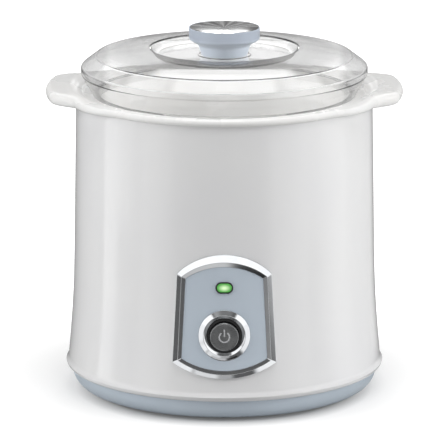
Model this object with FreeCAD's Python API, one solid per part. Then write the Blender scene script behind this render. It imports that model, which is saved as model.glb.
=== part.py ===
import FreeCAD, Part
import math
import os

# Yogurt maker, in millimetres. The origin is on the floor under the housing's axis,
# +Z is up and the control panel faces -Y.

# Housing: its outer profile from the top rim down to the seam with the base tray
rim_z = 176.6
rim_r = 88.4
waist_z = 82.0
waist_grow = 1.6
flare_grow = 5.4
flare_rise = 3.3
lip_grow = 6.9
lip_rise = 3.2
seam_z = 13.1
seam_grow = 3.0
wall = 2.5
seam_seat = 2.4
lip_hollow = 0.5
lip_under = 1.2
lip_sag = 0.4

# Ledge inside the housing that carries the heating well
ledge_drop = 12.6
ledge_t = 2.2
ledge_gap = 0.45
well_screw_count = 3
well_boss_r = 2.6
well_boss_depth = 12.0

# Base tray, feet and base screws
tray_floor_z = 1.5
tray_narrow = 7.4
tray_t = 2.4
tray_gap = 0.2
tray_bulge_out = 1.3
tray_bulge_down = 2.6
tray_upstand_t = 1.8
tray_upstand_rise = 3.9
foot_inset = 12.0
foot_r = 7.5
foot_stem_r = 2.4
foot_stem_rise = 1.5
foot_round = 0.5
foot_count = 4
base_screw_inset = 3.0
base_screw_count = 4
base_screw_angle = 45.0
base_boss_r = 4.2
base_web_t = 2.4
base_web_h = 5.5
base_web_gap = 1.5

# Fasteners shared by several places
screw_r = 1.5
screw_head_r = 2.7
screw_head_t = 1.4
screw_bite = 9.0
screw_slot_w = 0.8
screw_slot_t = 0.6
blind_end = 1.5
thread_gap = 0.05
hole_gap = 0.15

# Inner pot
pot_top_inset = 7.2
mouth_depth = 5.0
neck_inset = 4.7
neck_drop = 10.0
pot_taper = 10.5
pot_low_z = 72.0
pot_floor_z = 60.0
pot_wall = 4.0
pot_bottom_t = 5.0
pot_corner = 11.0
seat_rise = 2.4
seat_inset = 4.4
pot_step = 0.9
pot_lip_rise = 2.0
pot_lip_grow = 2.2
pot_lip_round = 2.1
ear_length = 15.8
ear_half = 34.0
ear_corner = 22.0
ear_rise = 2.0
ear_round = 2.8
ear_overlap = 4.4
ear_start = 36.4

# Heating well
well_t = 1.2
well_gap = 1.0
well_floor_gap = 0.5
well_rim_gap = 0.7
well_corner = 12.0
gasket_t = 1.0
gasket_inset = 0.4
stud_r = 2.0
stud_length = 7.0

# Lid
lid_t = 2.0
lid_spigot_gap = 0.6
lid_spigot_t = 1.6
lid_spigot_depth = 4.6
lid_foot_out = 1.4
skirt_flare = 6.7
skirt_h = 12.2
band_h = 4.0
band_round = 1.1
shoulder_run = 8.9
shoulder_h = 6.8
dome_h = 4.5
dish_r = 44.4
dish_depth = 3.3
dish_slope = 1.4

# Knob on the lid
knob_foot_r = 14.7
knob_neck_grow = 1.8
knob_head_grow = 4.7
knob_height = 15.5
knob_head_t = 4.9
knob_throat_h = 2.8
knob_throat = 1.2
knob_round = 1.2
cap_inset = 1.4
cap_t = 0.8
cap_edge = 0.2
cap_gap = 0.15
knob_screw_r = 2.0
knob_screw_head_r = 3.6
knob_screw_head_t = 2.2
knob_screw_bite = 8.0
knob_slot_w = 1.0
knob_slot_t = 1.0
washer_r = 6.5
washer_t = 1.0

# Control panel: half width at the top and bottom corners, then the heights of the
# top corners, top crown, bottom corners and bottom crown from the button's middle
plate_outline = (22.7, 25.2, 33.2, 40.7, -14.6, -21.2)
inner_bevel = (2.3, 2.1, 1.1, 2.9, -0.9, -2.0)
outer_bevel = (2.6, 3.1, 1.3, 4.4, -1.8, -2.7)
ridge_flat = 0.25
plate_t = 1.2
frame_rise = 3.0
frame_edge = 1.6
plate_gap = 0.1
bond_gap = 0.15
peg_r = 1.3
peg_rise = 0.8
peg_reach = 2.5
peg_heights = (-9.4, 26.6)

# Power button, its bright ring and black sleeve
button_z = 53.4
button_r = 8.4
button_face = 5.7
button_skirt = 6.0
button_travel = 2.5
button_round = 0.7
button_gap = 0.4
stem_r = 2.6
sleeve_t = 1.45
sleeve_rise = 1.2
ring_cone_w = 2.1
ring_band_w = 2.6
ring_rise = 2.4
ring_edge = 0.6
ring_lip = 1.5
ring_dome = 0.25
ring_barrel_t = 1.2
ring_tail = 1.5
mark_r = 3.0
mark_w = 0.8
mark_t = 0.2
mark_open = 35.0
mark_bar_low = 0.3
mark_bar_high = 4.6

# Indicator
lamp_rise = 28.3
lens_w = 8.6
lens_h = 5.2
lens_rise = 0.9
lens_depth = 6.0
lens_round = 0.7
bezel_rim = 0.75
bezel_rise = 0.7
bezel_barrel_t = 0.45
lens_gap = 0.1
led_r = 2.5
led_flange_r = 2.9
led_flange_t = 1.0
led_gap = 0.2

# Control board and what stands on it; its heights are from the button's middle
board_setback = 14.5
board_t = 1.6
board_half_w = 23.0
board_low = -11.4
board_high = 40.6
board_hole_x = 19.0
board_hole_inset = 4.0
post_r = 3.0
board_screw_bite = 5.0
switch_half = 4.25
switch_depth = 6.0
switch_floor = 0.8
plunger_half = 1.5
plunger_side_gap = 0.3
plunger_stop_gap = 0.6
spring_gap = 1.2
spring_wire_r = 0.3
spring_turns = 4
spring_end_gap = 0.15
block_half_w = 7.6
block_depth = 8.0
block_low = -13.4
block_high = -3.4
block_pole = 5.1
block_screw_r = 1.6
block_screw_t = 1.5

# Heater under the well
heater_inset = 10.0
heater_t = 2.0
clamp_inset = 6.0
clamp_t = 1.2
nut_across = 7.0
nut_t = 3.2
thermostat_x = 26.0
thermostat_y = 8.0
thermostat_r = 8.0
thermostat_t = 9.0
thermostat_step = 0.6
thermostat_ear_x = 12.0
thermostat_ear_r = 4.0
thermostat_ear_t = 1.0
blade_half_gap = 3.5
blade_w = 5.0
blade_t = 0.8
blade_length = 8.0
fuse_x = -24.0
fuse_r = 2.6
fuse_half = 10.0
fuse_round = 0.6
clip_w = 7.0
clip_t = 0.8
clip_gap = 0.1
clip_foot = 9.0

# Power inlet at the back
inlet_z = 34.0
inlet_seat_sink = 2.4
inlet_flange_half_w = 15.0
inlet_flange_half_h = 8.5
inlet_flange_t = 1.8
inlet_corner = 2.0
inlet_body_half_w = 8.6
inlet_body_half_h = 5.3
inlet_depth = 13.5
socket_half_w = 7.2
socket_half_h = 3.9
socket_depth = 11.0
pin_x = 4.3
pin_r = 1.2
pin_length = 8.5
tab_w = 4.8
tab_t = 0.8
tab_length = 7.0
inlet_screw_x = 11.5
inlet_pocket_gap = 0.3
inlet_pad_margin = 2.0
inlet_pad_depth = 6.0
inlet_root = 0.5

# Leads
lead_r = 0.9
lead_bend = 5.5
lead_low_z = 14.0
lead_mid_z = 20.0
lead_high_z = 27.0
lead_loop_z = 32.0
lead_pad_inset = 3.2
lead_tail = 14.0
lead_drop = 16.0
lead_rise = 25.0
lead_turn = 26.0
lead_stub = 10.0

# How far a cut runs past a face, and how close two places are to count as the same
over_cut = 1.0
same = 0.001

# Radii of the housing and base
waist_r = rim_r + waist_grow
flare_r = rim_r + flare_grow
lip_r = rim_r + lip_grow
seam_r = rim_r + seam_grow
tray_floor_r = seam_r - tray_narrow
foot_place_r = tray_floor_r - foot_inset
base_screw_place_r = tray_floor_r - base_screw_inset

# Heights of the housing and base
lip_z = seam_z + lip_rise
flare_z = lip_z + flare_rise
ledge_z = rim_z - ledge_drop
tray_floor_top = tray_floor_z + tray_t
tray_upstand_top = seam_z + tray_upstand_rise
base_web_low = tray_upstand_top + base_web_gap
base_boss_top = base_web_low + base_web_h

# Pot
mouth_r = rim_r - pot_top_inset - pot_wall
neck_r = mouth_r - neck_inset
pot_low_r = neck_r - pot_taper
seat_out_r = rim_r - seat_inset
pot_lip_r = rim_r + pot_lip_grow
ear_reach = pot_lip_r + ear_length
ear_root_r = pot_lip_r - ear_overlap
ear_root_x = ear_reach - ear_start
seat_z = rim_z + seat_rise
mouth_low_z = seat_z - mouth_depth
neck_z = mouth_low_z - neck_drop
pot_lip_z = seat_z + pot_lip_rise
ear_top_z = pot_lip_z + ear_rise
pot_under_z = pot_floor_z - pot_bottom_t

# Well and heater
well_flange_low = ledge_z + gasket_t
well_flange_top = well_flange_low + well_t
well_flange_r = rim_r - wall - well_rim_gap
well_floor_top = pot_under_z - well_floor_gap
well_under_z = well_floor_top - well_t
heater_low_z = well_under_z - heater_t
clamp_low_z = heater_low_z - clamp_t
heater_r = pot_low_r - heater_inset
clamp_r = heater_r - clamp_inset
lead_pad_r = heater_r - lead_pad_inset

# Lid and knob
spigot_r = mouth_r - lid_spigot_gap
lid_foot_r = mouth_r + lid_foot_out
band_r = lid_foot_r + skirt_flare
crease_r = band_r - shoulder_run
lid_spigot_low_z = seat_z - lid_spigot_depth
band_low_z = seat_z + skirt_h
band_high_z = band_low_z + band_h
crease_z = band_high_z + shoulder_h
dish_rim_z = crease_z + dome_h
dish_floor_z = dish_rim_z - dish_depth
dish_under_z = dish_floor_z - lid_t
washer_low_z = dish_under_z - washer_t
knob_neck_r = knob_foot_r + knob_neck_grow
knob_head_r = knob_neck_r + knob_head_grow
cap_r = knob_head_r - cap_inset
knob_top_z = dish_floor_z + knob_height
knob_head_low_z = knob_top_z - knob_head_t
knob_neck_top_z = knob_head_low_z - knob_throat_h

# Button, ring and indicator
ring_bore_r = button_r + button_gap + sleeve_t + hole_gap
ring_ridge_r = ring_bore_r + ring_cone_w
ring_out_r = ring_ridge_r + ring_band_w
spring_r = stem_r + spring_gap + spring_wire_r
lamp_z = button_z + lamp_rise
block_low_z = button_z + block_low
block_high_z = button_z + block_high


def vec(x, y, z):
    return FreeCAD.Vector(x, y, z)


def face_of(items, place):
    # Closed face from 2-D points; a pair of points is an arc through the first to the second
    start = place(*items[0])
    edges = []
    for item in items[1:] + items[:1]:
        if isinstance(item[0], tuple):
            end = place(*item[1])
            edges.append(Part.Arc(start, place(*item[0]), end).toShape())
        else:
            end = place(*item)
            edges.append(Part.makeLine(start, end))
        start = end
    return Part.Face(Part.Wire(edges))


def turned(items):
    # Radius and height, turned about the housing's axis
    face = face_of(items, lambda r, z: vec(r, 0, z))
    return face.revolve(vec(0, 0, 0), vec(0, 0, 1), 360)


def turned_front(items, height):
    # Radius and distance towards the front, turned about a line along Y at this height
    face = face_of(items, lambda r, front: vec(r, -front, height))
    return face.revolve(vec(0, 0, height), vec(0, 1, 0), 360)


def upright(radius, low, high, x=0.0, y=0.0):
    return Part.makeCylinder(radius, high - low, vec(x, y, low))


def along_y(radius, y_from, y_to, x, z):
    low = min(y_from, y_to)
    return Part.makeCylinder(radius, abs(y_to - y_from), vec(x, low, z), vec(0, 1, 0))


def block(x_from, x_to, y_from, y_to, z_from, z_to):
    return Part.makeBox(x_to - x_from, y_to - y_from, z_to - z_from, vec(x_from, y_from, z_from))


def stadium(width, height, y_from, y_to, z):
    # Bar along Y with round ends left and right
    radius = height / 2
    half = width / 2 - radius
    top = z + radius
    low = z - radius
    edges = [
        Part.makeLine(vec(-half, y_from, low), vec(half, y_from, low)),
        Part.Arc(vec(half, y_from, low), vec(half + radius, y_from, z), vec(half, y_from, top)).toShape(),
        Part.makeLine(vec(half, y_from, top), vec(-half, y_from, top)),
        Part.Arc(vec(-half, y_from, top), vec(-half - radius, y_from, z), vec(-half, y_from, low)).toShape(),
    ]
    return Part.Face(Part.Wire(edges)).extrude(vec(0, y_to - y_from, 0))


def around(count, radius, first_angle):
    # Places spaced evenly on a circle about the axis
    for index in range(count):
        angle = math.radians(first_angle + 360.0 * index / count)
        yield radius * math.cos(angle), radius * math.sin(angle)


def tangent_arc(start, before, end):
    # Middle and centre of the arc that leaves start in the direction from before to start
    run_r = start[0] - before[0]
    run_z = start[1] - before[1]
    length = math.hypot(run_r, run_z)
    side = (-run_z / length, run_r / length)
    chord = (end[0] - start[0], end[1] - start[1])
    lean = chord[0] * side[0] + chord[1] * side[1]
    radius = (chord[0] ** 2 + chord[1] ** 2) / (2 * lean)
    centre = (start[0] + radius * side[0], start[1] + radius * side[1])
    half = ((start[0] + end[0]) / 2 - centre[0], (start[1] + end[1]) / 2 - centre[1])
    scale = abs(radius) / math.hypot(*half)
    middle = (centre[0] + half[0] * scale, centre[1] + half[1] * scale)
    return middle, centre, abs(radius)


flare_mid, flare_centre, flare_radius = tangent_arc((waist_r, waist_z), (rim_r, rim_z), (flare_r, flare_z))


def wall_radius(z):
    if z >= waist_z:
        return rim_r + (waist_r - rim_r) * (rim_z - z) / (rim_z - waist_z)
    return flare_centre[0] - math.sqrt(flare_radius ** 2 - (z - flare_centre[1]) ** 2)


board_back = wall_radius(button_z) - board_setback
board_front = board_back + board_t
switch_front = board_front + switch_depth


def wall_front(x, z, offset):
    # Distance in front of the axis of the wall's outer face, raised by offset
    return math.sqrt((wall_radius(z) + offset) ** 2 - x ** 2)


def wall_band(low_offset, high_offset):
    # Layer that follows the housing's outer face between two offsets
    outer = [
        (rim_r + high_offset, rim_z),
        (waist_r + high_offset, waist_z),
        ((flare_mid[0] + high_offset, flare_mid[1]), (flare_r + high_offset, flare_z)),
    ]
    inner = [
        (flare_r + low_offset, flare_z),
        ((flare_mid[0] + low_offset, flare_mid[1]), (waist_r + low_offset, waist_z)),
        (rim_r + low_offset, rim_z),
    ]
    return turned(outer + inner)


def wall_core(offset):
    # Everything inside the housing's outer face, raised by offset
    return turned([
        (0.0, rim_z),
        (rim_r + offset, rim_z),
        (waist_r + offset, waist_z),
        ((flare_mid[0] + offset, flare_mid[1]), (flare_r + offset, flare_z)),
        (0.0, flare_z),
    ])


def panel_points(outline, offset):
    # Left top corner, top crown, right top corner and the same at the bottom, on the wall
    half_top, half_low, top, top_crown, low, low_crown = outline
    flat = [
        (-half_top, button_z + top),
        (0.0, button_z + top_crown),
        (half_top, button_z + top),
        (half_low, button_z + low),
        (0.0, button_z + low_crown),
        (-half_low, button_z + low),
    ]
    return [vec(x, -wall_front(x, z, offset), z) for x, z in flat]


def panel_wire(points):
    return Part.Wire([
        Part.Arc(points[0], points[1], points[2]).toShape(),
        Part.makeLine(points[2], points[3]),
        Part.Arc(points[3], points[4], points[5]).toShape(),
        Part.makeLine(points[5], points[0]),
    ])


def at_front(start, end, front):
    # Point on the line from start to end at this distance in front of the axis
    share = (-front - start.y) / (end.y - start.y)
    return start + (end - start) * share


def panel_bevel(back_outline, back_offset, ridge_outline, ridge_offset, back, front):
    # Solid whose sides slope through both outlines, from the plane at back to that at front
    backs = panel_points(back_outline, back_offset)
    ridges = panel_points(ridge_outline, ridge_offset)
    wires = []
    for distance in (back, front):
        wires.append(panel_wire([at_front(a, b, distance) for a, b in zip(backs, ridges)]))
    return Part.makeLoft(wires, True, True)


def panel_prism(outline, back, front):
    points = [vec(p.x, -back, p.z) for p in panel_points(outline, 0.0)]
    return Part.Face(panel_wire(points)).extrude(vec(0, back - front, 0))


def grown(outline, margin):
    return tuple(a + b for a, b in zip(outline, margin))


def inset(outline, amount):
    return grown(outline, (-amount, -amount, -amount, -amount, amount, amount))


def lead(points):
    # Round wire along straight runs joined by tangent arcs
    places = [vec(*p) for p in points]
    edges = []
    start = places[0]
    for before, corner, after in zip(places, places[1:], places[2:]):
        into = (corner - before).normalize()
        away = (after - corner).normalize()
        turn = into.getAngle(away)
        reach = lead_bend * math.tan(turn / 2)
        arc_start = corner - into * reach
        arc_end = corner + away * reach
        inward = (away - into).normalize()
        depth = lead_bend / math.cos(turn / 2) - lead_bend
        edges.append(Part.makeLine(start, arc_start))
        edges.append(Part.Arc(arc_start, corner + inward * depth, arc_end).toShape())
        start = arc_end
    edges.append(Part.makeLine(start, places[-1]))
    section = Part.Wire(Part.makeCircle(lead_r, places[0], places[1] - places[0]))
    return Part.Wire(edges).makePipeShell([section], True, False)


def screw_slot(x, y, low, high):
    half = screw_slot_w / 2
    return block(x - screw_head_r, x + screw_head_r, y - half, y + half, low, high)


def screw_up(x, y, head_low, head_t, tip):
    # Screw driven upwards: its head below, its shank to the tip
    head = upright(screw_head_r, head_low, head_low + head_t, x, y)
    shank = upright(screw_r, head_low + head_t, tip, x, y)
    slot = screw_slot(x, y, head_low, head_low + screw_slot_t)
    return head.fuse(shank).cut(slot)


def screw_down(x, y, head_low, head_t, tip):
    head = upright(screw_head_r, head_low, head_low + head_t, x, y)
    shank = upright(screw_r, tip, head_low, x, y)
    top = head_low + head_t
    slot = screw_slot(x, y, top - screw_slot_t, top)
    return head.fuse(shank).cut(slot)


def build_housing():
    shell = turned([
        (rim_r, rim_z),
        (waist_r, waist_z),
        (flare_mid, (flare_r, flare_z)),
        ((flare_r + lip_hollow, (flare_z + lip_z - lip_sag) / 2), (lip_r, lip_z)),
        ((lip_r - lip_under, (lip_z + seam_z - lip_under) / 2), (seam_r, seam_z)),
        (seam_r - seam_seat, seam_z),
        (flare_r - wall, flare_z),
        ((flare_mid[0] - wall, flare_mid[1]), (waist_r - wall, waist_z)),
        (wall_radius(ledge_z - ledge_t) - wall, ledge_z - ledge_t),
        (ledge_in_r(), ledge_z - ledge_t),
        (ledge_in_r(), ledge_z),
        (wall_radius(ledge_z) - wall, ledge_z),
        (rim_r - wall, rim_z),
    ])
    added = []
    holes = []
    boss_low = ledge_z - well_boss_depth
    for x, y in well_screw_places():
        added.append(upright(well_boss_r, boss_low, ledge_z, x, y))
        holes.append(upright(screw_r + thread_gap, boss_low + blind_end, ledge_z + over_cut, x, y))
    web_reach = wall_radius(base_boss_top) - wall / 2
    web_half = base_web_t / 2
    pilot_top = base_boss_top - blind_end
    for index in range(base_screw_count):
        angle = base_screw_angle + 360.0 * index / base_screw_count
        boss = upright(base_boss_r, tray_floor_top, base_boss_top, base_screw_place_r, 0.0)
        web = block(base_screw_place_r, web_reach, -web_half, web_half, base_web_low, base_boss_top)
        pilot = upright(screw_r + thread_gap, tray_floor_top - over_cut, pilot_top, base_screw_place_r, 0.0)
        for shape, group in ((boss.fuse(web), added), (pilot, holes)):
            shape.rotate(vec(0, 0, 0), vec(0, 0, 1), angle)
            group.append(shape)
    for x, z in board_holes():
        reach = wall_front(x, z, -wall / 2)
        added.append(along_y(post_r, -board_front, -reach, x, z))
        holes.append(along_y(screw_r + thread_gap, -board_front, blind_end - reach, x, z))
    added.append(inlet_pad())
    holes.append(inlet_pocket())
    outside = wall_radius(button_z) + wall
    holes.append(along_y(ring_barrel_r() + hole_gap, -outside, -board_front, 0.0, button_z))
    holes.append(lamp_slot(hole_gap))
    for x, z in peg_places():
        holes.append(along_y(peg_r + hole_gap, -wall_front(x, z, wall), -board_front, x, z))
    return shell.fuse(added).cut(holes)


def ledge_in_r():
    return well_points(well_t)[0][0] + ledge_gap


def well_screw_places():
    # Along the middle of the well's flange, the first one at the back
    return around(well_screw_count, (ledge_in_r() + well_flange_r) / 2, 90.0)


def inlet_seat():
    return wall_radius(inlet_z) - inlet_seat_sink


def inlet_pad():
    # Thickened patch of the wall with a flat seat for the inlet
    half_w = inlet_flange_half_w + inlet_pad_margin
    half_h = inlet_flange_half_h + inlet_pad_margin
    seat = inlet_seat()
    patch = block(-half_w, half_w, seat - inlet_pad_depth, seat + wall, inlet_z - half_h, inlet_z + half_h)
    return patch.common(wall_core(-wall / 2))


def inlet_pocket():
    half_w = inlet_flange_half_w + inlet_pocket_gap
    half_h = inlet_flange_half_h + inlet_pocket_gap
    seat = inlet_seat()
    recess = block(-half_w, half_w, seat, seat + 2 * wall, inlet_z - half_h, inlet_z + half_h)
    body_w = 2 * (inlet_body_half_w + hole_gap)
    body_h = 2 * (inlet_body_half_h + hole_gap)
    through = stadium(body_w, body_h, seat - inlet_pad_depth - over_cut, seat + over_cut, inlet_z)
    holes = [through]
    for side in (-1, 1):
        x = side * inlet_screw_x
        end = seat - inlet_pad_depth + blind_end
        holes.append(along_y(screw_r + thread_gap, end, seat + over_cut, x, inlet_z))
    return recess.fuse(holes)


def board_holes():
    for x in (-board_hole_x, board_hole_x):
        for rise in (board_low + board_hole_inset, board_high - board_hole_inset):
            yield x, button_z + rise


def ring_barrel_r():
    return ring_bore_r + ring_barrel_t


def lamp_slot(gap):
    # Bar through the wall that the indicator's black rim is pressed into
    extra = 2 * (lens_gap + bezel_barrel_t + gap)
    front = wall_radius(lamp_z) + wall + plate_t
    return stadium(lens_w + extra, lens_h + extra, -front, -board_front, lamp_z)


def peg_places():
    # Middle of the frame's two sides, at each peg height
    outer = grown(grown(plate_outline, inner_bevel), outer_bevel)
    for rise in peg_heights:
        halves = []
        for half_top, half_low, top, _, low, _ in (plate_outline, outer):
            halves.append(half_top + (half_low - half_top) * (top - rise) / (top - low))
        for side in (-1, 1):
            yield side * sum(halves) / 2, button_z + rise


def build_tray():
    top_r = seam_r - tray_gap
    up_out = seam_r - seam_seat - tray_gap
    up_in = up_out - tray_upstand_t
    bulge = ((top_r + tray_floor_r) / 2 + tray_bulge_out, (seam_z + tray_floor_z) / 2 - tray_bulge_down)
    inner_bulge = (bulge[0] - tray_t * math.sqrt(0.5), bulge[1] + tray_t * math.sqrt(0.5))
    dish = turned([
        (0.0, tray_floor_z),
        (tray_floor_r, tray_floor_z),
        (bulge, (top_r, seam_z)),
        (up_out, seam_z),
        (up_out, tray_upstand_top),
        (up_in, tray_upstand_top),
        (up_in, seam_z - tray_t),
        (inner_bulge, (tray_floor_r - tray_t, tray_floor_top)),
        (0.0, tray_floor_top),
    ])
    holes = []
    for x, y in around(base_screw_count, base_screw_place_r, base_screw_angle):
        holes.append(upright(screw_r + hole_gap, 0.0, tray_floor_top + over_cut, x, y))
        holes.append(upright(screw_head_r + hole_gap, 0.0, tray_floor_z + screw_head_t, x, y))
        holes.append(upright(base_boss_r + hole_gap, tray_floor_top, seam_z + tray_t, x, y))
    for x, y in around(foot_count, foot_place_r, 0.0):
        holes.append(upright(foot_stem_r + thread_gap, 0.0, tray_floor_top + over_cut, x, y))
    return dish.cut(holes)


def build_feet():
    feet = []
    for x, y in around(foot_count, foot_place_r, 0.0):
        pad = upright(foot_r, 0.0, tray_floor_z, x, y)
        rounded = pad.makeFillet(foot_round, [pad.Edges[2]])
        stem = upright(foot_stem_r, tray_floor_z, tray_floor_top + foot_stem_rise, x, y)
        feet.append(rounded.fuse(stem))
    return Part.makeCompound(feet)


def build_base_screws():
    tip = tray_floor_top + screw_bite
    places = around(base_screw_count, base_screw_place_r, base_screw_angle)
    return Part.makeCompound([screw_up(x, y, tray_floor_z, screw_head_t, tip) for x, y in places])


def pot_outer_r(z):
    # Outer radius of the pot's tapering wall below its neck
    return pot_low_r + pot_wall + (neck_r - pot_low_r) * (z - pot_low_z) / (neck_z - pot_low_z)


def rounded_cup(top, low, floor_z, corner):
    # Points of a tapering wall from top to low, a round corner and the floor's edge
    lean_r = low[0] - top[0]
    lean_z = low[1] - top[1]
    length = math.hypot(lean_r, lean_z)
    down = (lean_r / length, lean_z / length)
    corner_r = low[0] + down[0] * (low[1] - floor_z) / -down[1]
    half_turn = math.acos(-down[0]) / 2
    reach = corner / math.tan(half_turn)
    start = (corner_r - down[0] * reach, floor_z - down[1] * reach)
    end = (corner_r - reach, floor_z)
    depth = corner / math.sin(half_turn) - corner
    inward = (-down[0] - 1.0, -down[1])
    scale = depth / math.hypot(*inward)
    middle = (corner_r + inward[0] * scale, floor_z + inward[1] * scale)
    return start, middle, end


def build_pot():
    inner = rounded_cup((neck_r, neck_z), (pot_low_r, pot_low_z), pot_floor_z, pot_corner)
    outer_low = (pot_low_r + pot_wall, pot_low_z)
    outer_neck = (neck_r + pot_wall, neck_z)
    outer = rounded_cup(outer_neck, outer_low, pot_under_z, pot_corner + pot_wall)
    lip_out = pot_lip_r - pot_lip_round
    lip_mid_z = (pot_lip_z + rim_z) / 2
    body = turned([
        (0.0, pot_floor_z),
        inner[2],
        (inner[1], inner[0]),
        (neck_r, neck_z),
        (mouth_r, mouth_low_z),
        (mouth_r, seat_z),
        (seat_out_r, seat_z),
        (seat_out_r + pot_step, pot_lip_z),
        (lip_out, pot_lip_z),
        ((pot_lip_r, lip_mid_z), (lip_out, rim_z)),
        (mouth_r + pot_wall, rim_z),
        (mouth_r + pot_wall, mouth_low_z),
        outer_neck,
        outer[0],
        (outer[1], outer[2]),
        (0.0, pot_under_z),
    ])
    ears = []
    for side in (-1, 1):
        ears.append(build_ear(side))
    return body.fuse(ears)


def build_ear(side):
    low_x = min(side * ear_reach, side * ear_root_x)
    high_x = max(side * ear_reach, side * ear_root_x)
    slab = block(low_x, high_x, -ear_half, ear_half, rim_z, ear_top_z)
    corners = []
    for edge in slab.Edges:
        middle = edge.CenterOfMass
        at_end = abs(abs(middle.x) - ear_reach) < same
        at_side = abs(abs(middle.y) - ear_half) < same
        if at_end and at_side:
            corners.append(edge)
    slab = slab.makeFillet(ear_corner, corners)
    rims = []
    for edge in slab.Edges:
        flat = edge.BoundBox.ZLength < same
        if flat and abs(edge.CenterOfMass.x) > ear_root_x + same:
            rims.append(edge)
    slab = slab.makeFillet(ear_round, rims)
    return slab.cut(upright(ear_root_r, rim_z - over_cut, ear_top_z + over_cut))


def well_points(extra):
    # Inner face of the well, moved outwards by extra
    low = (pot_low_r + pot_wall + well_gap + extra, pot_low_z)
    top_r = pot_outer_r(well_flange_top) + 2 * well_gap + extra
    corner = rounded_cup((top_r, well_flange_top), low, well_floor_top - extra, well_corner + extra)
    return (top_r, well_flange_top), corner


def build_well():
    top, inner = well_points(0.0)
    outer_top, outer = well_points(well_t)
    cup = turned([
        (0.0, well_floor_top),
        inner[2],
        (inner[1], inner[0]),
        top,
        (well_flange_r, well_flange_top),
        (well_flange_r, well_flange_low),
        (outer_top[0], well_flange_low),
        outer[0],
        (outer[1], outer[2]),
        (0.0, well_under_z),
    ])
    stud = upright(stud_r, well_under_z - stud_length, well_under_z + well_t / 2)
    holes = []
    for x, y in well_screw_places():
        low = well_flange_low - over_cut
        holes.append(upright(screw_r + hole_gap, low, well_flange_top + over_cut, x, y))
    return cup.fuse(stud).cut(holes)


def build_gasket():
    outer = upright(well_flange_r - gasket_inset, ledge_z, well_flange_low)
    ring = outer.cut(upright(ledge_in_r() + gasket_inset, ledge_z, well_flange_low))
    holes = []
    for x, y in well_screw_places():
        holes.append(upright(screw_r + hole_gap, ledge_z - over_cut, well_flange_low + over_cut, x, y))
    return ring.cut(holes)


def build_well_screws():
    places = well_screw_places()
    tip = ledge_z - screw_bite
    return Part.makeCompound([screw_down(x, y, well_flange_top, screw_head_t, tip) for x, y in places])


def build_heater_mat():
    hole = upright(stud_r + hole_gap, heater_low_z, well_under_z)
    return upright(heater_r, heater_low_z, well_under_z).cut(hole)


def sensor_screw_places():
    for side in (-1, 1):
        yield thermostat_x, thermostat_y + side * thermostat_ear_x
    yield fuse_x - clip_foot, 0.0


def build_clamp():
    holes = [upright(stud_r + hole_gap, clamp_low_z, heater_low_z)]
    for x, y in sensor_screw_places():
        holes.append(upright(screw_r + thread_gap, clamp_low_z, heater_low_z, x, y))
    return upright(clamp_r, clamp_low_z, heater_low_z).cut(holes)


def build_nut():
    radius = nut_across / math.sqrt(3)
    corners = []
    for index in range(7):
        angle = math.radians(60.0 * index)
        corners.append(vec(radius * math.cos(angle), radius * math.sin(angle), clamp_low_z - nut_t))
    hexagon = Part.Face(Part.makePolygon(corners)).extrude(vec(0, 0, nut_t))
    return hexagon.cut(upright(stud_r + thread_gap, clamp_low_z - nut_t, clamp_low_z))


def build_thermostat():
    ear_low = clamp_low_z - thermostat_ear_t
    body_low = clamp_low_z - thermostat_t
    pieces = [upright(thermostat_r - thermostat_step, body_low, ear_low, thermostat_x, thermostat_y)]
    holes = []
    bridge_w = thermostat_ear_r
    low_y = thermostat_y - thermostat_ear_x
    high_y = thermostat_y + thermostat_ear_x
    bridge = block(thermostat_x - bridge_w, thermostat_x + bridge_w, low_y, high_y, ear_low, clamp_low_z)
    pieces.append(bridge)
    for y in (low_y, high_y):
        pieces.append(upright(thermostat_ear_r, ear_low, clamp_low_z, thermostat_x, y))
        holes.append(upright(screw_r + hole_gap, ear_low - over_cut, clamp_low_z + over_cut, thermostat_x, y))
    for x in (thermostat_x - blade_half_gap, thermostat_x + blade_half_gap):
        half = blade_t / 2
        low_z = body_low - blade_length
        y_from = thermostat_y - blade_w / 2
        pieces.append(block(x - half, x + half, y_from, y_from + blade_w, low_z, body_low + over_cut))
    disc = upright(thermostat_r, ear_low, clamp_low_z, thermostat_x, thermostat_y)
    return disc.fuse(pieces).cut(holes)


def fuse_height():
    return clamp_low_z - clip_gap - fuse_r


def build_fuse():
    z = fuse_height()
    sleeve = along_y(fuse_r, -fuse_half, fuse_half, fuse_x, z)
    return sleeve.makeFillet(fuse_round, [sleeve.Edges[0], sleeve.Edges[2]])


def build_clip():
    # Strap round the fuse with one foot screwed to the clamp plate
    z = fuse_height()
    inner = fuse_r + clip_gap
    outer = inner + clip_t
    y_from = -clip_w / 2
    hoop = along_y(outer, y_from, -y_from, fuse_x, z).cut(along_y(inner, y_from, -y_from, fuse_x, z))
    hoop = hoop.cut(block(fuse_x - outer, fuse_x + outer, y_from, -y_from, z, z + outer))
    far_wall = block(fuse_x + inner, fuse_x + outer, y_from, -y_from, z, clamp_low_z)
    near_wall = block(fuse_x - outer, fuse_x - inner, y_from, -y_from, z, clamp_low_z)
    foot_low = clamp_low_z - clip_t
    foot = block(fuse_x - clip_foot - clip_w / 2, fuse_x - inner, y_from, -y_from, foot_low, clamp_low_z)
    hole = upright(screw_r + hole_gap, foot_low - over_cut, clamp_low_z + over_cut, fuse_x - clip_foot, 0.0)
    return hoop.fuse([far_wall, near_wall, foot]).cut(hole)


def build_sensor_screws():
    screws = []
    for (x, y), sheet in zip(sensor_screw_places(), (thermostat_ear_t, thermostat_ear_t, clip_t)):
        screws.append(screw_up(x, y, clamp_low_z - sheet - screw_head_t, screw_head_t, heater_low_z))
    return Part.makeCompound(screws)


def ridge_outline():
    return grown(plate_outline, inner_bevel)


def panel_front():
    # In front of everything that lies on the wall within the panel
    return flare_r + frame_rise


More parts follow.
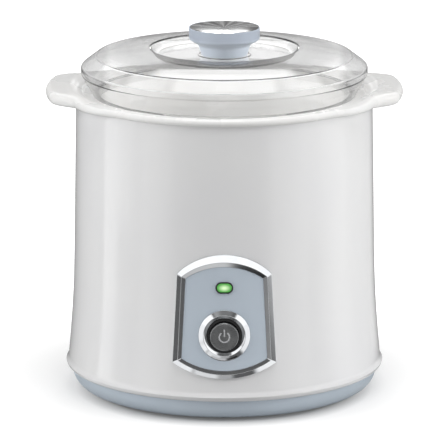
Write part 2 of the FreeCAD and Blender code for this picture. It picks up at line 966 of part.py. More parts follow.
def build_frame():
    ridge = ridge_outline()
    outer = grown(ridge, outer_bevel)
    front = panel_front()
    back = board_front
    slope = panel_bevel(outer, frame_edge, ridge, frame_rise, back, front)
    side = panel_prism(outer, back, front)
    brink = inset(ridge, ridge_flat)
    hollow = panel_bevel(plate_outline, plate_t, brink, frame_rise, back, front)
    opening = panel_prism(plate_outline, back, front)
    ring = wall_band(bond_gap, frame_rise).common(slope).common(side).cut([hollow, opening])
    pegs = []
    for x, z in peg_places():
        pegs.append(along_y(peg_r, -wall_front(x, z, peg_rise), -wall_front(x, z, -wall - peg_reach), x, z))
    return ring.fuse(pegs)


def build_plate():
    prism = panel_prism(inset(plate_outline, plate_gap), board_front, panel_front())
    hole = along_y(ring_barrel_r() + hole_gap, -panel_front(), -board_front, 0.0, button_z)
    return wall_band(bond_gap, plate_t).common(prism).cut([hole, lamp_slot(hole_gap)])


def build_bezel():
    base = wall_radius(lamp_z) + plate_t
    extra = 2 * (lens_gap + bezel_barrel_t)
    rim = 2 * (lens_gap + bezel_rim)
    tail = wall_radius(lamp_z) - wall - ring_tail
    flange = stadium(lens_w + rim, lens_h + rim, -base - bezel_rise, -tail, lamp_z)
    flange = flange.cut(wall_core(plate_t + bond_gap))
    barrel = stadium(lens_w + extra, lens_h + extra, -base - bezel_rise, -tail, lamp_z)
    bore = stadium(lens_w + 2 * lens_gap, lens_h + 2 * lens_gap, -base - 2 * bezel_rise, -tail, lamp_z)
    return flange.fuse(barrel).cut(bore)


def lens_back():
    return wall_radius(lamp_z) + plate_t + lens_rise - lens_depth


def build_lens():
    front = wall_radius(lamp_z) + plate_t + lens_rise
    body = stadium(lens_w, lens_h, -front, -lens_back(), lamp_z)
    rims = [edge for edge in body.Edges if abs(edge.BoundBox.YMax + front) < same]
    return body.makeFillet(lens_round, rims)


def build_led():
    tip = lens_back() - led_gap
    shoulder = tip - led_r
    return turned_front([
        (0.0, board_front),
        (led_flange_r, board_front),
        (led_flange_r, board_front + led_flange_t),
        (led_r, board_front + led_flange_t),
        (led_r, shoulder),
        ((led_r * math.sqrt(0.5), shoulder + led_r * math.sqrt(0.5)), (0.0, tip)),
    ], lamp_z)


def build_ring():
    base = wall_radius(button_z) + plate_t
    back = base - 2 * ring_rise
    mid = ((ring_out_r + ring_ridge_r) / 2 + ring_dome, base + (ring_rise + ring_edge) / 2 + ring_dome)
    flange = turned_front([
        (ring_bore_r, back),
        (ring_out_r, back),
        (ring_out_r, base + ring_edge),
        (mid, (ring_ridge_r, base + ring_rise)),
        (ring_bore_r, base + ring_lip),
    ], button_z).cut(wall_core(plate_t + bond_gap))
    tail = base - plate_t - wall - ring_tail
    barrel = turned_front([
        (ring_bore_r, tail),
        (ring_barrel_r(), tail),
        (ring_barrel_r(), base + ring_edge),
        (ring_bore_r, base + ring_edge),
    ], button_z)
    return flange.fuse(barrel)


def build_sleeve():
    front = wall_radius(button_z) + plate_t + sleeve_rise
    inner = button_r + button_gap
    outer = ring_bore_r - hole_gap
    return turned_front([
        (inner, board_front),
        (outer, board_front),
        (outer, front),
        (inner, front),
    ], button_z)


def button_front():
    return wall_radius(button_z) + button_face


def stem_back():
    return switch_front + button_travel + plunger_side_gap


def build_button():
    front = button_front()
    back = front - button_skirt
    edge = button_r - button_round
    near = button_round * (1 - math.sqrt(0.5))
    return turned_front([
        (0.0, stem_back()),
        (stem_r, stem_back()),
        (stem_r, back),
        (button_r, back),
        (button_r, front - button_round),
        ((button_r - near, front - near), (edge, front)),
        (0.0, front),
    ], button_z)


def build_mark():
    # Open ring and upright bar, standing proud of the button's face
    front = button_front()
    inner = mark_r - mark_w / 2
    outer = mark_r + mark_w / 2
    ring = along_y(outer, -front, -front - mark_t, 0.0, button_z)
    ring = ring.cut(along_y(inner, -front, -front - mark_t, 0.0, button_z))
    open_x = 2 * outer * math.sin(math.radians(mark_open))
    open_z = 2 * outer * math.cos(math.radians(mark_open))
    wedge = Part.makePolygon([
        vec(0.0, -front - mark_t, button_z),
        vec(open_x, -front - mark_t, button_z + open_z),
        vec(-open_x, -front - mark_t, button_z + open_z),
        vec(0.0, -front - mark_t, button_z),
    ])
    ring = ring.cut(Part.Face(wedge).extrude(vec(0, mark_t, 0)))
    low = button_z + mark_bar_low
    high = button_z + mark_bar_high
    bar = block(-mark_w / 2, mark_w / 2, -front - mark_t, -front, low, high)
    return Part.makeCompound([ring, bar])


def build_switch():
    half = switch_half
    body = block(-half, half, -switch_front, -board_front, button_z - half, button_z + half)
    hole_half = plunger_half + plunger_side_gap
    floor = board_front + switch_floor
    hole = block(-hole_half, hole_half, -switch_front, -floor, button_z - hole_half, button_z + hole_half)
    return body.cut(hole)


def build_plunger():
    half = plunger_half
    back = board_front + switch_floor + plunger_stop_gap + button_travel
    return block(-half, half, -stem_back(), -back, button_z - half, button_z + half)


def build_spring():
    # Open coil between the switch and the back of the button, a quarter turn to each arc
    low = switch_front + spring_end_gap + spring_wire_r
    high = button_front() - button_skirt - spring_end_gap - spring_wire_r
    quarters = 4 * spring_turns

    def on_coil(step):
        angle = math.pi * step / 2
        front = low + (high - low) * step / quarters
        return vec(spring_r * math.cos(angle), -front, button_z + spring_r * math.sin(angle))

    arcs = []
    for index in range(quarters):
        arcs.append(Part.Arc(on_coil(index), on_coil(index + 0.5), on_coil(index + 1)).toShape())
    start = arcs[0].tangentAt(arcs[0].FirstParameter)
    section = Part.Wire(Part.makeCircle(spring_wire_r, on_coil(0), start))
    return Part.Wire(arcs).makePipeShell([section], True, False)


def build_board():
    low = button_z + board_low
    high = button_z + board_high
    board = block(-board_half_w, board_half_w, -board_front, -board_back, low, high)
    holes = []
    for x, z in board_holes():
        holes.append(along_y(screw_r + hole_gap, -board_front, -board_back, x, z))
    return board.cut(holes)


def build_board_screws():
    screws = []
    for x, z in board_holes():
        head = along_y(screw_head_r, -board_back, -board_back + screw_head_t, x, z)
        screws.append(head.fuse(along_y(screw_r, -board_front - board_screw_bite, -board_back, x, z)))
    return Part.makeCompound(screws)


def build_terminal_block():
    end = -board_back + block_depth
    body = block(-block_half_w, block_half_w, -board_back, end, block_low_z, block_high_z)
    grooves = []
    middle = -board_back + block_depth / 2
    for pole in (-1, 0, 1):
        x = pole * block_pole
        grooves.append(upright(block_screw_r, block_high_z - block_screw_t, block_high_z, x, middle))
    return body.cut(grooves)


def build_inlet():
    seat = inlet_seat()
    face = seat + inlet_flange_t
    half_w = inlet_flange_half_w
    half_h = inlet_flange_half_h
    flange = block(-half_w, half_w, seat, face, inlet_z - half_h, inlet_z + half_h)
    corners = []
    for edge in flange.Edges:
        if edge.BoundBox.YLength > inlet_flange_t / 2:
            corners.append(edge)
    flange = flange.makeFillet(inlet_corner, corners)
    back = face - inlet_depth
    body = stadium(2 * inlet_body_half_w, 2 * inlet_body_half_h, back, seat + inlet_root, inlet_z)
    holes = [stadium(2 * socket_half_w, 2 * socket_half_h, face - socket_depth, face, inlet_z)]
    for side in (-1, 1):
        holes.append(along_y(screw_r + hole_gap, seat, face, side * inlet_screw_x, inlet_z))
        holes.append(along_y(pin_r + thread_gap, back, face, side * pin_x, inlet_z))
    return flange.fuse(body).cut(holes)


def build_pins():
    face = inlet_seat() + inlet_flange_t
    back = face - inlet_depth
    pins = []
    for side in (-1, 1):
        x = side * pin_x
        pin = along_y(pin_r, back, face - socket_depth + pin_length, x, inlet_z)
        low = inlet_z - tab_w / 2
        tab = block(x - tab_t / 2, x + tab_t / 2, tab_end(), back, low, low + tab_w)
        pins.append(pin.fuse(tab))
    return Part.makeCompound(pins)


def build_inlet_screws():
    seat = inlet_seat()
    face = seat + inlet_flange_t
    screws = []
    for side in (-1, 1):
        x = side * inlet_screw_x
        head = along_y(screw_head_r, face, face + screw_head_t, x, inlet_z)
        shank = along_y(screw_r, seat - inlet_pad_depth + 2 * blind_end, face, x, inlet_z)
        half = screw_slot_w / 2
        top = face + screw_head_t
        slot_low = inlet_z - screw_head_r
        slot = block(x - half, x + half, top - screw_slot_t, top, slot_low, inlet_z + screw_head_r)
        screws.append(head.fuse(shank).cut(slot))
    return Part.makeCompound(screws)


def tab_end():
    return inlet_seat() + inlet_flange_t - inlet_depth - tab_length


def build_leads():
    tab = tab_end()
    block_y = -board_back + block_depth / 2
    blade_low = clamp_low_z - thermostat_t - blade_length
    fuse_z = fuse_height()
    pad_y = math.sqrt(lead_pad_r ** 2 - fuse_x ** 2)
    first_blade = thermostat_x - blade_half_gap
    second_blade = thermostat_x + blade_half_gap
    routes = {}
    routes["lead_live"] = [
        (-pin_x, tab, inlet_z),
        (-pin_x, tab - lead_tail, inlet_z),
        (-pin_x, tab - lead_tail - lead_drop, lead_high_z),
        (-block_pole, block_y + lead_rise, lead_high_z),
        (-block_pole, block_y, lead_mid_z),
        (-block_pole, block_y, block_low_z),
    ]
    routes["lead_neutral"] = [
        (pin_x, tab, inlet_z),
        (pin_x, lead_pad_r, inlet_z),
        (pin_x, lead_pad_r, heater_low_z),
    ]
    routes["lead_switched"] = [
        (0.0, block_y, block_low_z),
        (0.0, block_y, lead_low_z),
        (first_blade, thermostat_y, lead_low_z),
        (first_blade, thermostat_y, blade_low),
    ]
    routes["lead_thermostat"] = [
        (second_blade, thermostat_y, blade_low),
        (second_blade, thermostat_y, lead_mid_z),
        (fuse_x, thermostat_y + lead_turn, lead_mid_z),
        (fuse_x, thermostat_y + lead_turn, fuse_z),
        (fuse_x, fuse_half, fuse_z),
    ]
    routes["lead_heater"] = [
        (fuse_x, -fuse_half, fuse_z),
        (fuse_x, -fuse_half - lead_stub, fuse_z),
        (fuse_x, -fuse_half - lead_stub, lead_loop_z),
        (fuse_x, -pad_y, lead_loop_z),
        (fuse_x, -pad_y, heater_low_z),
    ]
    return {name: lead(points) for name, points in routes.items()}


def thickened(points, thickness):
    # The same run of points moved to the left of its direction, with mitred corners
    sides = []
    for start, end in zip(points, points[1:]):
        run = (end[0] - start[0], end[1] - start[1])
        length = math.hypot(*run)
        sides.append((-run[1] / length, run[0] / length))
    moved = []
    for point, before, after in zip(points, sides[:1] + sides, sides + sides[-1:]):
        scale = thickness / (1.0 + before[0] * after[0] + before[1] * after[1])
        moved.append((point[0] + (before[0] + after[0]) * scale, point[1] + (before[1] + after[1]) * scale))
    return moved


def build_lid():
    hole = knob_screw_r + hole_gap
    tuck = band_round * (1 - math.sqrt(0.5))
    spigot_in = spigot_r - lid_spigot_t
    outside = [
        (lid_foot_r, seat_z),
        (band_r, band_low_z),
        (band_r, band_high_z),
        (crease_r, crease_z),
        (dish_r, dish_rim_z),
        (dish_r - dish_slope, dish_floor_z),
        (hole, dish_floor_z),
    ]
    inside = thickened(outside, lid_t)
    band_foot = ((band_r - tuck, band_low_z - band_round + tuck), (band_r, band_low_z))
    band_end = (band_r - band_round, band_high_z + band_round)
    band_top = ((band_r - tuck, band_end[1] - tuck), band_end)
    rounded = [outside[0], (band_end[0], band_low_z - band_round), band_foot, outside[2], band_top]
    spigot = [
        (spigot_in, seat_z + lid_spigot_t),
        (spigot_in, lid_spigot_low_z),
        (spigot_r, lid_spigot_low_z),
    ]
    return turned([(spigot_r, seat_z)] + rounded + outside[3:] + inside[::-1] + spigot)


def build_knob():
    head_low = knob_head_low_z
    recess = knob_top_z - cap_t
    near = knob_round * (1 - math.sqrt(0.5))
    body = turned([
        (0.0, dish_floor_z),
        (knob_foot_r, dish_floor_z),
        (knob_neck_r, knob_neck_top_z),
        ((knob_neck_r + knob_throat, head_low - knob_throat), (knob_head_r - knob_round, head_low)),
        ((knob_head_r - near, head_low + near), (knob_head_r, head_low + knob_round)),
        (knob_head_r, knob_top_z - knob_round),
        ((knob_head_r - near, knob_top_z - near), (knob_head_r - knob_round, knob_top_z)),
        (cap_r + cap_gap, knob_top_z),
        (cap_r + cap_gap, recess),
        (0.0, recess),
    ])
    hole_top = dish_floor_z + knob_screw_bite + blind_end
    return body.cut(upright(knob_screw_r + thread_gap, dish_floor_z, hole_top))


def build_cap():
    return turned([
        (0.0, knob_top_z - cap_t),
        (cap_r, knob_top_z - cap_t),
        (cap_r, knob_top_z - cap_edge),
        (cap_r - cap_edge, knob_top_z),
        (0.0, knob_top_z),
    ])


def build_knob_screw():
    head_low = washer_low_z - knob_screw_head_t
    half = knob_slot_w / 2
    head = upright(knob_screw_head_r, head_low, washer_low_z)
    shank = upright(knob_screw_r, washer_low_z, dish_floor_z + knob_screw_bite)
    slots = [
        block(-knob_screw_head_r, knob_screw_head_r, -half, half, head_low, head_low + knob_slot_t),
        block(-half, half, -knob_screw_head_r, knob_screw_head_r, head_low, head_low + knob_slot_t),
    ]
    return head.fuse(shank).cut(slots)


def build_washer():
    hole = upright(knob_screw_r + hole_gap, washer_low_z, dish_under_z)
    return upright(washer_r, washer_low_z, dish_under_z).cut(hole)


pieces = {
    "housing_shell": build_housing(),
    "base_tray": build_tray(),
    "rubber_feet": build_feet(),
    "base_screws": build_base_screws(),
    "heating_well": build_well(),
    "well_gasket": build_gasket(),
    "well_screws": build_well_screws(),
    "heater_mat": build_heater_mat(),
    "heater_clamp": build_clamp(),
    "heater_nut": build_nut(),
    "thermostat": build_thermostat(),
    "thermal_fuse": build_fuse(),
    "fuse_clip": build_clip(),
    "sensor_screws": build_sensor_screws(),
    "panel_frame": build_frame(),
    "panel_plate": build_plate(),
    "indicator_bezel": build_bezel(),
    "indicator_lens": build_lens(),
    "indicator_led": build_led(),
    "button_ring": build_ring(),
    "button_sleeve": build_sleeve(),
    "power_button": build_button(),
    "power_mark": build_mark(),
    "switch_body": build_switch(),
    "switch_plunger": build_plunger(),
    "button_spring": build_spring(),
    "control_board": build_board(),
    "board_screws": build_board_screws(),
    "terminal_block": build_terminal_block(),
    "power_inlet": build_inlet(),
    "inlet_pins": build_pins(),
    "inlet_screws": build_inlet_screws(),
    "inner_pot": build_pot(),
    "lid_cover": build_lid(),
    "lid_knob": build_knob(),
    "knob_cap": build_cap(),
    "knob_screw": build_knob_screw(),
    "knob_washer": build_washer(),
}
pieces.update(build_leads())

os.makedirs("parts", exist_ok=True)
for name, shape in pieces.items():
    box = shape.BoundBox
    corners = [box.XMin, box.XMax, box.YMin, box.YMax, box.ZMin, box.ZMax]
    print(name, "solids", len(shape.Solids), "valid", shape.isValid(), [round(c, 2) for c in corners])
    shape.exportStep("parts/" + name + ".step")
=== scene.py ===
from math import cos, pi, radians, sin

import bmesh
import bpy
import numpy as np
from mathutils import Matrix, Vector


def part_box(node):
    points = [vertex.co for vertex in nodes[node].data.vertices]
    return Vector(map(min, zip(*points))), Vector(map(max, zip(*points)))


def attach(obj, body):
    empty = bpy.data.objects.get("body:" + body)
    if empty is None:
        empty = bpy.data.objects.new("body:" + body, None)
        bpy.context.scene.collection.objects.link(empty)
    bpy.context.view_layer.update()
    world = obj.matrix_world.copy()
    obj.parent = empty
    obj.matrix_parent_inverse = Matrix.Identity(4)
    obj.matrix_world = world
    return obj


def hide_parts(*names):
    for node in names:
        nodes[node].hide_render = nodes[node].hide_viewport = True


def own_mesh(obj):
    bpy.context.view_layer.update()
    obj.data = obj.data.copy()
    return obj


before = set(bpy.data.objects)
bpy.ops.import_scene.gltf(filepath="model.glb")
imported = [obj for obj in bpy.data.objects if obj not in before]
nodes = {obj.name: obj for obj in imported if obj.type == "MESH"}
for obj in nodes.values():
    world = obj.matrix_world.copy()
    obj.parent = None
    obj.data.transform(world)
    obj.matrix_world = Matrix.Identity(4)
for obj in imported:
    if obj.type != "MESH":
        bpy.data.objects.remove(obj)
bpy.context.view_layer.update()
scene = bpy.context.scene
scene.view_settings.view_transform = "Standard"
mm = 0.001  # sizes below are in millimetres unless said otherwise
leastTurn = 1e-4  # radians, for a corner that hardly bends
weldGap = 1e-7  # metres
print("frame loaded:", len(nodes), "nodes")


# shape tools

def unit(v):
    return v / np.linalg.norm(v)


def ease(x, start, end):
    # 0 before start, 1 after end, and an S curve between them; start may be the larger one
    t = np.clip((x - start) / (end - start), 0, 1)
    return t * t * (3 - 2 * t)


def roundedPath(corners, loop=False, steps=7, guard=0.12):
    # corners are (radius, height, rounding): each becomes an arc that meets both its runs, with a guard
    # point on either side, so that smooth shading stays in the arc
    pts = np.array(corners, float)
    path = []
    for i, (r, z, rounding) in enumerate(pts):
        here = np.array([r, z])
        if not loop and i in (0, len(pts) - 1):
            path.append(here[None])
            continue
        back = unit(pts[i - 1, :2] - here)
        ahead = unit(pts[(i + 1) % len(pts), :2] - here)
        half = np.arccos(np.clip(back @ ahead, -1, 1)) / 2
        reach = rounding / np.tan(half)
        centre = here + unit(back + ahead) * rounding / np.sin(half)
        turn = max(pi - 2 * half, leastTurn)
        t = np.linspace(0, 1, steps)[:, None]
        arc = np.sin((1 - t) * turn) * (here + back * reach - centre)
        arc = (arc + np.sin(t * turn) * (here + ahead * reach - centre)) / np.sin(turn)
        path.append(np.vstack([here + back * (reach + guard), centre + arc, here + ahead * (reach + guard)]))
    return np.vstack(path)


def movedIn(corners, wall):
    # the same run of corners moved to its left by the wall, with mitred corners
    pts = np.array(corners, float)
    run = np.diff(pts, axis=0)
    run /= np.linalg.norm(run, axis=1)[:, None]
    side = np.stack([-run[:, 1], run[:, 0]], axis=1)
    before = np.vstack([side[:1], side])
    after = np.vstack([side, side[-1:]])
    return pts + (before + after) * wall / (1 + (before * after).sum(axis=1))[:, None]


def turned(path, columns):
    # a profile carried round the upright axis: x = r cos a, y = r sin a, z = height
    angle = np.linspace(0, 2 * pi, columns, endpoint=False)
    r, z = path[:, :1], path[:, 1:]
    return np.stack([r * np.cos(angle), r * np.sin(angle), z + 0 * angle], axis=2)


def meshFromGrid(name, grid, loop=False, sharp=38):
    # grid[row, column] is a point; columns close on themselves, rows do too where loop is set, and rows that
    # shrink to a point become a pole; edges that bend by more than sharp, in degrees, stay crisp
    ids = np.arange(grid.shape[0] * grid.shape[1]).reshape(grid.shape[:2])
    low = ids if loop else ids[:-1]
    high = np.roll(ids, -1, axis=0) if loop else ids[1:]
    quads = np.stack([low, np.roll(low, -1, axis=1), np.roll(high, -1, axis=1), high], axis=2)
    mesh = bpy.data.meshes.new(name)
    mesh.from_pydata(grid.reshape(-1, 3) * mm, [], quads.reshape(-1, 4))
    work = bmesh.new()
    work.from_mesh(mesh)
    bmesh.ops.remove_doubles(work, verts=work.verts, dist=weldGap)
    bmesh.ops.recalc_face_normals(work, faces=work.faces)
    work.to_mesh(mesh)
    work.free()
    mesh.shade_smooth()
    mesh.set_sharp_from_angle(angle=radians(sharp))
    piece = bpy.data.objects.new(name, mesh)
    scene.collection.objects.link(piece)
    return piece


def fit(piece, body, node, finish):
    piece.data.materials.append(finish)
    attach(piece, body)
    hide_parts(node)


def paint(finish, *names):
    for name in names:
        piece = nodes[name]
        if not piece.material_slots:
            piece.data.materials.append(finish)
        for place in piece.material_slots:
            place.material = finish


# finish tools

softDetail, plainDetail, fineDetail = 1.0, 2.0, 3.0  # how many finer layers a noise has


def addNode(tree, kind, inputs=None, **settings):
    made = tree.nodes.new("ShaderNode" + kind)
    for key, value in settings.items():
        setattr(made, key, value)
    for key, value in (inputs or {}).items():
        if isinstance(value, bpy.types.NodeSocket):
            tree.links.new(value, made.inputs[key])
        else:
            made.inputs[key].default_value = value
    return made


def startFinish(name, sockets):
    finish = bpy.data.materials.new(name)
    finish.use_nodes = True
    tree = finish.node_tree
    shader = tree.nodes["Principled BSDF"]
    for key, value in sockets.items():
        shader.inputs[key].default_value = value
    where = addNode(tree, "TexCoord").outputs["Object"]
    return finish, tree, shader, where


def noise(tree, where, size, detail=plainDetail):
    # cloud noise whose blotches are about size millimetres across
    return addNode(tree, "TexNoise", {"Vector": where, "Scale": 1000 / size, "Detail": detail}).outputs[0]


def spread(tree, value, low, high, fromLow=0.35, fromHigh=0.65):
    # low to high as the value goes from fromLow to fromHigh, which are the usual span of a noise
    return addNode(tree, "MapRange", {"Value": value, "From Min": fromLow, "From Max": fromHigh,
                                      "To Min": low, "To Max": high}).outputs[0]


def mixed(tree, factor, first, second):
    # a colour between first and second; 6, 7 and 2 are the node's colour sockets
    return addNode(tree, "Mix", {0: factor, 6: first, 7: second}, data_type="RGBA").outputs[2]


def twoTone(tree, factor, look):
    return mixed(tree, factor, colour(*look["colour"]), colour(*look["second"]))


def upwards(tree, where, span):
    # 0 below the first height of the span and 1 above the second
    height = addNode(tree, "SeparateXYZ", {0: where}).outputs["Z"]
    return spread(tree, height, 0.0, 1.0, *(v * mm for v in span))


def sideways(tree, where, span):
    # 0 in the middle and 1 out to the left and right, by the distance of x from 0
    x = addNode(tree, "SeparateXYZ", {0: where}).outputs["X"]
    aside = addNode(tree, "Math", {0: x}, operation="ABSOLUTE").outputs[0]
    return spread(tree, aside, 0.0, 1.0, *(v * mm for v in span))


def colour(red, green, blue):
    # a 0 to 255 screen colour as the shader reads it, by the usual curve of screens
    c = np.array([red, green, blue]) / 255
    c = np.where(c <= 0.04045, c / 12.92, ((c + 0.055) / 1.055) ** 2.4)
    return (*c.tolist(), 1.0)


def bump(tree, height, depth):
    # depth is in millimetres
    return addNode(tree, "Bump", {"Height": height, "Distance": depth * mm}).outputs[0]


def mouldedFinish(name, look):
    # two near colours and a roughness span drift over the piece, and a fine grain lifts its surface; a look
    # may also have painted shading low down, a lighter or darker colour below a height, and painted shade
    # towards its left and right sides
    finish, tree, shader, where = startFinish(name, look.get("sockets", {}))
    drift = noise(tree, where, look["driftSize"], fineDetail)
    grain = noise(tree, where, look["grainSize"])
    tint = twoTone(tree, spread(tree, drift, 0.0, 1.0), look)
    if "foot" in look:
        # painted light or shade: the foot colour below the span, fading into the piece's own colour above it
        tint = mixed(tree, upwards(tree, where, look["footTop"]), colour(*look["foot"]), tint)
    if "side" in look:
        # painted shade: the side colour grows out towards the left and right
        tint = mixed(tree, sideways(tree, where, look["sideFrom"]), tint, colour(*look["side"]))
    tree.links.new(tint, shader.inputs["Base Color"])
    tree.links.new(spread(tree, drift, *look["roughness"]), shader.inputs["Roughness"])
    tree.links.new(bump(tree, grain, look["grainDepth"]), shader.inputs["Normal"])
    return finish


# glossy white housing

housingLook = {
    # the foot colour is painted shade: a darker band low on the housing, over the lip just above the seam
    "colour": (231, 231, 231), "second": (228, 228, 229), "foot": (218, 218, 219), "footTop": (14.5, 20.5),
    "roughness": (0.10, 0.16), "driftSize": 60, "grainSize": 9, "grainDepth": 0.004,
    "sockets": {"IOR": 1.4, "Coat Weight": 0.1, "Coat Roughness": 0.04},
}
housingWhite = mouldedFinish("housingWhite", housingLook)
paint(housingWhite, "housing_shell")

trayLook = {
    # the side colour is painted shade: the tray grows darker towards its left and right ends
    "colour": (200, 211, 221), "second": (196, 207, 218), "side": (178, 188, 197), "sideFrom": (30, 86),
    "roughness": (0.40, 0.48), "driftSize": 40, "grainSize": 0.7, "grainDepth": 0.006,
    "sockets": {"IOR": 1.2},
}
trayGrey = mouldedFinish("trayBlueGrey", trayLook)
paint(trayGrey, "base_tray")
print("housing and tray finished")


# white glazed pot, with two ears that flow out of its lip

pot = {
    "floor": 60.0, "under": 55.0, "low": (62.0, 72.0), "neck": (72.5, 164.0), "mouth": (77.2, 174.0),
    "wall": 4.0, "corner": 11.0, "seat": (84.0, 179.0), "step": (84.9, 181.0), "rimLow": 176.6,
    "neckRound": 4, "mouthRound": 3, "stepRound": 0.6, "rimRound": 0.5, "rimLand": 1.5,
    "lipRadius": 90.6, "lipRound": 2.1, "lipStart": 1.1, "lipBlend": 7,
    # the ear's own end: its reach, and the degrees from the ear's middle between which it grows
    "earTip": 9.5, "earTipFrom": 24.0, "earTipTo": 13.0,
    # the same for the sweep that carries it into the lip, and for its extra height and rounding
    "earRoot": 6.3, "earRootFrom": 50.0, "earRootTo": 28.0,
    "earRise": 3.5, "earRound": 1.5, "earFrom": 38.0, "earTo": 15.0,
    "columns": 432, "topRows": 13, "roundRows": 17, "backRows": 6,
}


def potGrid(s):
    # inside and outside are turned profiles; between them the lip's reach, height and rounding depend on the
    # angle from the ear's middle, as two S curves added to the round lip
    lean = (s["neck"][0] - s["low"][0]) / (s["neck"][1] - s["low"][1])
    inCorner = s["low"][0] - lean * (s["low"][1] - s["floor"])
    outCorner = s["low"][0] + s["wall"] - lean * (s["low"][1] - s["under"])
    mouthR, seatR, seatZ, stepR, stepZ = s["mouth"][0], *s["seat"], *s["step"]
    outR, start, bend = mouthR + s["wall"], stepR + s["lipStart"], s["stepRound"]
    inside = roundedPath([
        (0, s["floor"], 0), (inCorner, s["floor"], s["corner"]),
        (*s["neck"], s["neckRound"]), (*s["mouth"], s["mouthRound"]),
        (mouthR, seatZ, bend), (seatR, seatZ, bend), (stepR, stepZ, bend), (start, stepZ, 0)])
    outside = roundedPath([
        (outR + s["rimLand"], s["rimLow"], 0), (outR, s["rimLow"], s["rimRound"]),
        (outR, s["mouth"][1], s["mouthRound"]), (s["neck"][0] + s["wall"], s["neck"][1], s["neckRound"]),
        (outCorner, s["under"], s["corner"] + s["wall"]), (0, s["under"], 0)])
    angle = np.linspace(0, 2 * pi, s["columns"], endpoint=False)
    off = np.degrees(np.arctan2(np.abs(np.sin(angle)), np.abs(np.cos(angle))))
    tip = ease(off, s["earTipFrom"], s["earTipTo"])
    root = ease(off, s["earRootFrom"], s["earRootTo"])
    reach = s["lipRadius"] + s["earTip"] * tip + s["earRoot"] * root
    ear = ease(off, s["earFrom"], s["earTo"])
    edge = s["lipRound"] + s["earRound"] * ear
    top = stepZ + s["earRise"] * ear
    t = np.linspace(0, 1, s["topRows"])[1:, None]
    topR = start + (reach - edge - start) * t
    topZ = stepZ + (top - stepZ) * ease(topR, start, start + s["lipBlend"])
    topZ = np.where(t == 1, top, topZ) * ear + topZ * (1 - ear)
    swing = np.linspace(0, pi, s["roundRows"])[1:, None]
    last = topZ[-1]
    roundR = reach - edge + edge * np.sin(swing)
    roundZ = (last + s["rimLow"]) / 2 + (last - s["rimLow"]) / 2 * np.cos(swing)
    back = np.linspace(0, 1, s["backRows"])[1:-1, None]
    lowR = reach - edge + (outside[0, 0] - reach + edge) * back
    lowZ = s["rimLow"] + 0 * lowR
    same = 0 * angle
    r = np.vstack([inside[:, :1] + same, topR, roundR, lowR, outside[:, :1] + same])
    z = np.vstack([inside[:, 1:] + same, topZ, roundZ, lowZ, outside[:, 1:] + same])
    return np.stack([r * np.cos(angle), r * np.sin(angle), z], axis=2)


glazeLook = {
    "colour": (236, 236, 235), "second": (234, 233, 231),
    "roughness": (0.24, 0.32), "driftSize": 30, "grainSize": 5, "grainDepth": 0.006,
    "sockets": {"IOR": 1.5, "Coat Weight": 0.2, "Coat Roughness": 0.22},
}
potWhite = mouldedFinish("potGlazeWhite", glazeLook)
fit(meshFromGrid("pot", potGrid(pot)), "pot", "inner_pot", potWhite)
print("pot made")


# clear lid

lid = {
    "foot": (78.6, 179.0), "footRound": 0.2, "band": 85.3, "bandLow": 191.2, "bandHigh": 195.2,
    "spigot": 76.6, "spigotIn": 75.0, "spigotLow": 174.4, "spigotRise": 1.6, "spigotRound": 0.4,
    "crease": (76.4, 202.0), "domeMiddle": (60.4, 204.8), "dish": (43.8, 206.5), "dishFloor": (40.2, 202.0),
    "bossOut": 15.9, "bossIn": 15.0, "bossRise": 0.35, "bossLean": 0.1, "bossRound": 0.05,
    "hole": 2.15, "holeRound": 0.1, "wall": 1.3, "columns": 360,
    # roundings from the foot to the dish's floor, on the outside and on the inside
    "outRound": [0.4, 1.6, 1.6, 1.4, 160, 2.0, 1.4], "inRound": [0.5, 0.4, 0.4, 2.4, 160, 0.5, 2.4],
}


def lidPath(s):
    # the outside corners with a low boss round the knob, the same corners moved in by the wall, and the
    # spigot that drops into the pot's mouth
    floorZ, footZ = s["dishFloor"][1], s["foot"][1]
    bossZ, bossBend = floorZ + s["bossRise"], s["bossRound"]
    low, bend = s["spigotLow"], s["spigotRound"]
    outer = [s["foot"], (s["band"], s["bandLow"]), (s["band"], s["bandHigh"]), s["crease"], s["domeMiddle"],
             s["dish"], s["dishFloor"], (s["hole"], floorZ)]
    inner = movedIn(outer, s["wall"])
    boss = [(s["bossOut"], floorZ, bossBend), (s["bossOut"] - s["bossLean"], bossZ, bossBend),
            (s["bossIn"], bossZ, bossBend), (s["bossIn"] - s["bossLean"], floorZ, bossBend)]
    corners = [(s["spigotIn"], low, bend), (s["spigot"], low, bend), (s["spigot"], footZ, s["footRound"])]
    corners += [(*p, r) for p, r in zip(outer, s["outRound"])] + boss + [(s["hole"], floorZ, s["holeRound"])]
    corners += [(*inner[-1], s["holeRound"])] + [(*p, r) for p, r in zip(inner[-2::-1], s["inRound"][::-1])]
    corners += [(s["spigotIn"], footZ + s["spigotRise"], bend)]
    return roundedPath(corners, loop=True)


def clearFinish(name, look):
    # clear plastic with slow moulding waves; its top and its left and right ends are tinted greyer as painted
    # shade that stands in for reflections; lamps shine through it
    finish, tree, shader, where = startFinish(name, look["sockets"])
    waves = noise(tree, where, look["waveSize"], softDetail)
    haze = noise(tree, where, look["hazeSize"], fineDetail)
    tree.links.new(bump(tree, waves, look["waveDepth"]), shader.inputs["Normal"])
    tree.links.new(spread(tree, haze, *look["roughness"]), shader.inputs["Roughness"])
    # painted shade: greyer out to the left and right ends
    side = sideways(tree, where, look["sideFrom"])
    skirt = mixed(tree, side, colour(*look["skirt"]), colour(*look["side"]))
    # painted shade: greyer on the dome above the span's first height
    tint = mixed(tree, upwards(tree, where, look["topFrom"]), skirt, colour(*look["top"]))
    tree.links.new(tint, shader.inputs["Base Color"])
    shadow = addNode(tree, "LightPath").outputs["Is Shadow Ray"]
    through = addNode(tree, "BsdfTransparent", {"Color": colour(*look["through"])}).outputs[0]
    both = addNode(tree, "MixShader", {0: shadow, 1: shader.outputs[0], 2: through}).outputs[0]
    tree.links.new(both, tree.nodes["Material Output"].inputs["Surface"])
    return finish


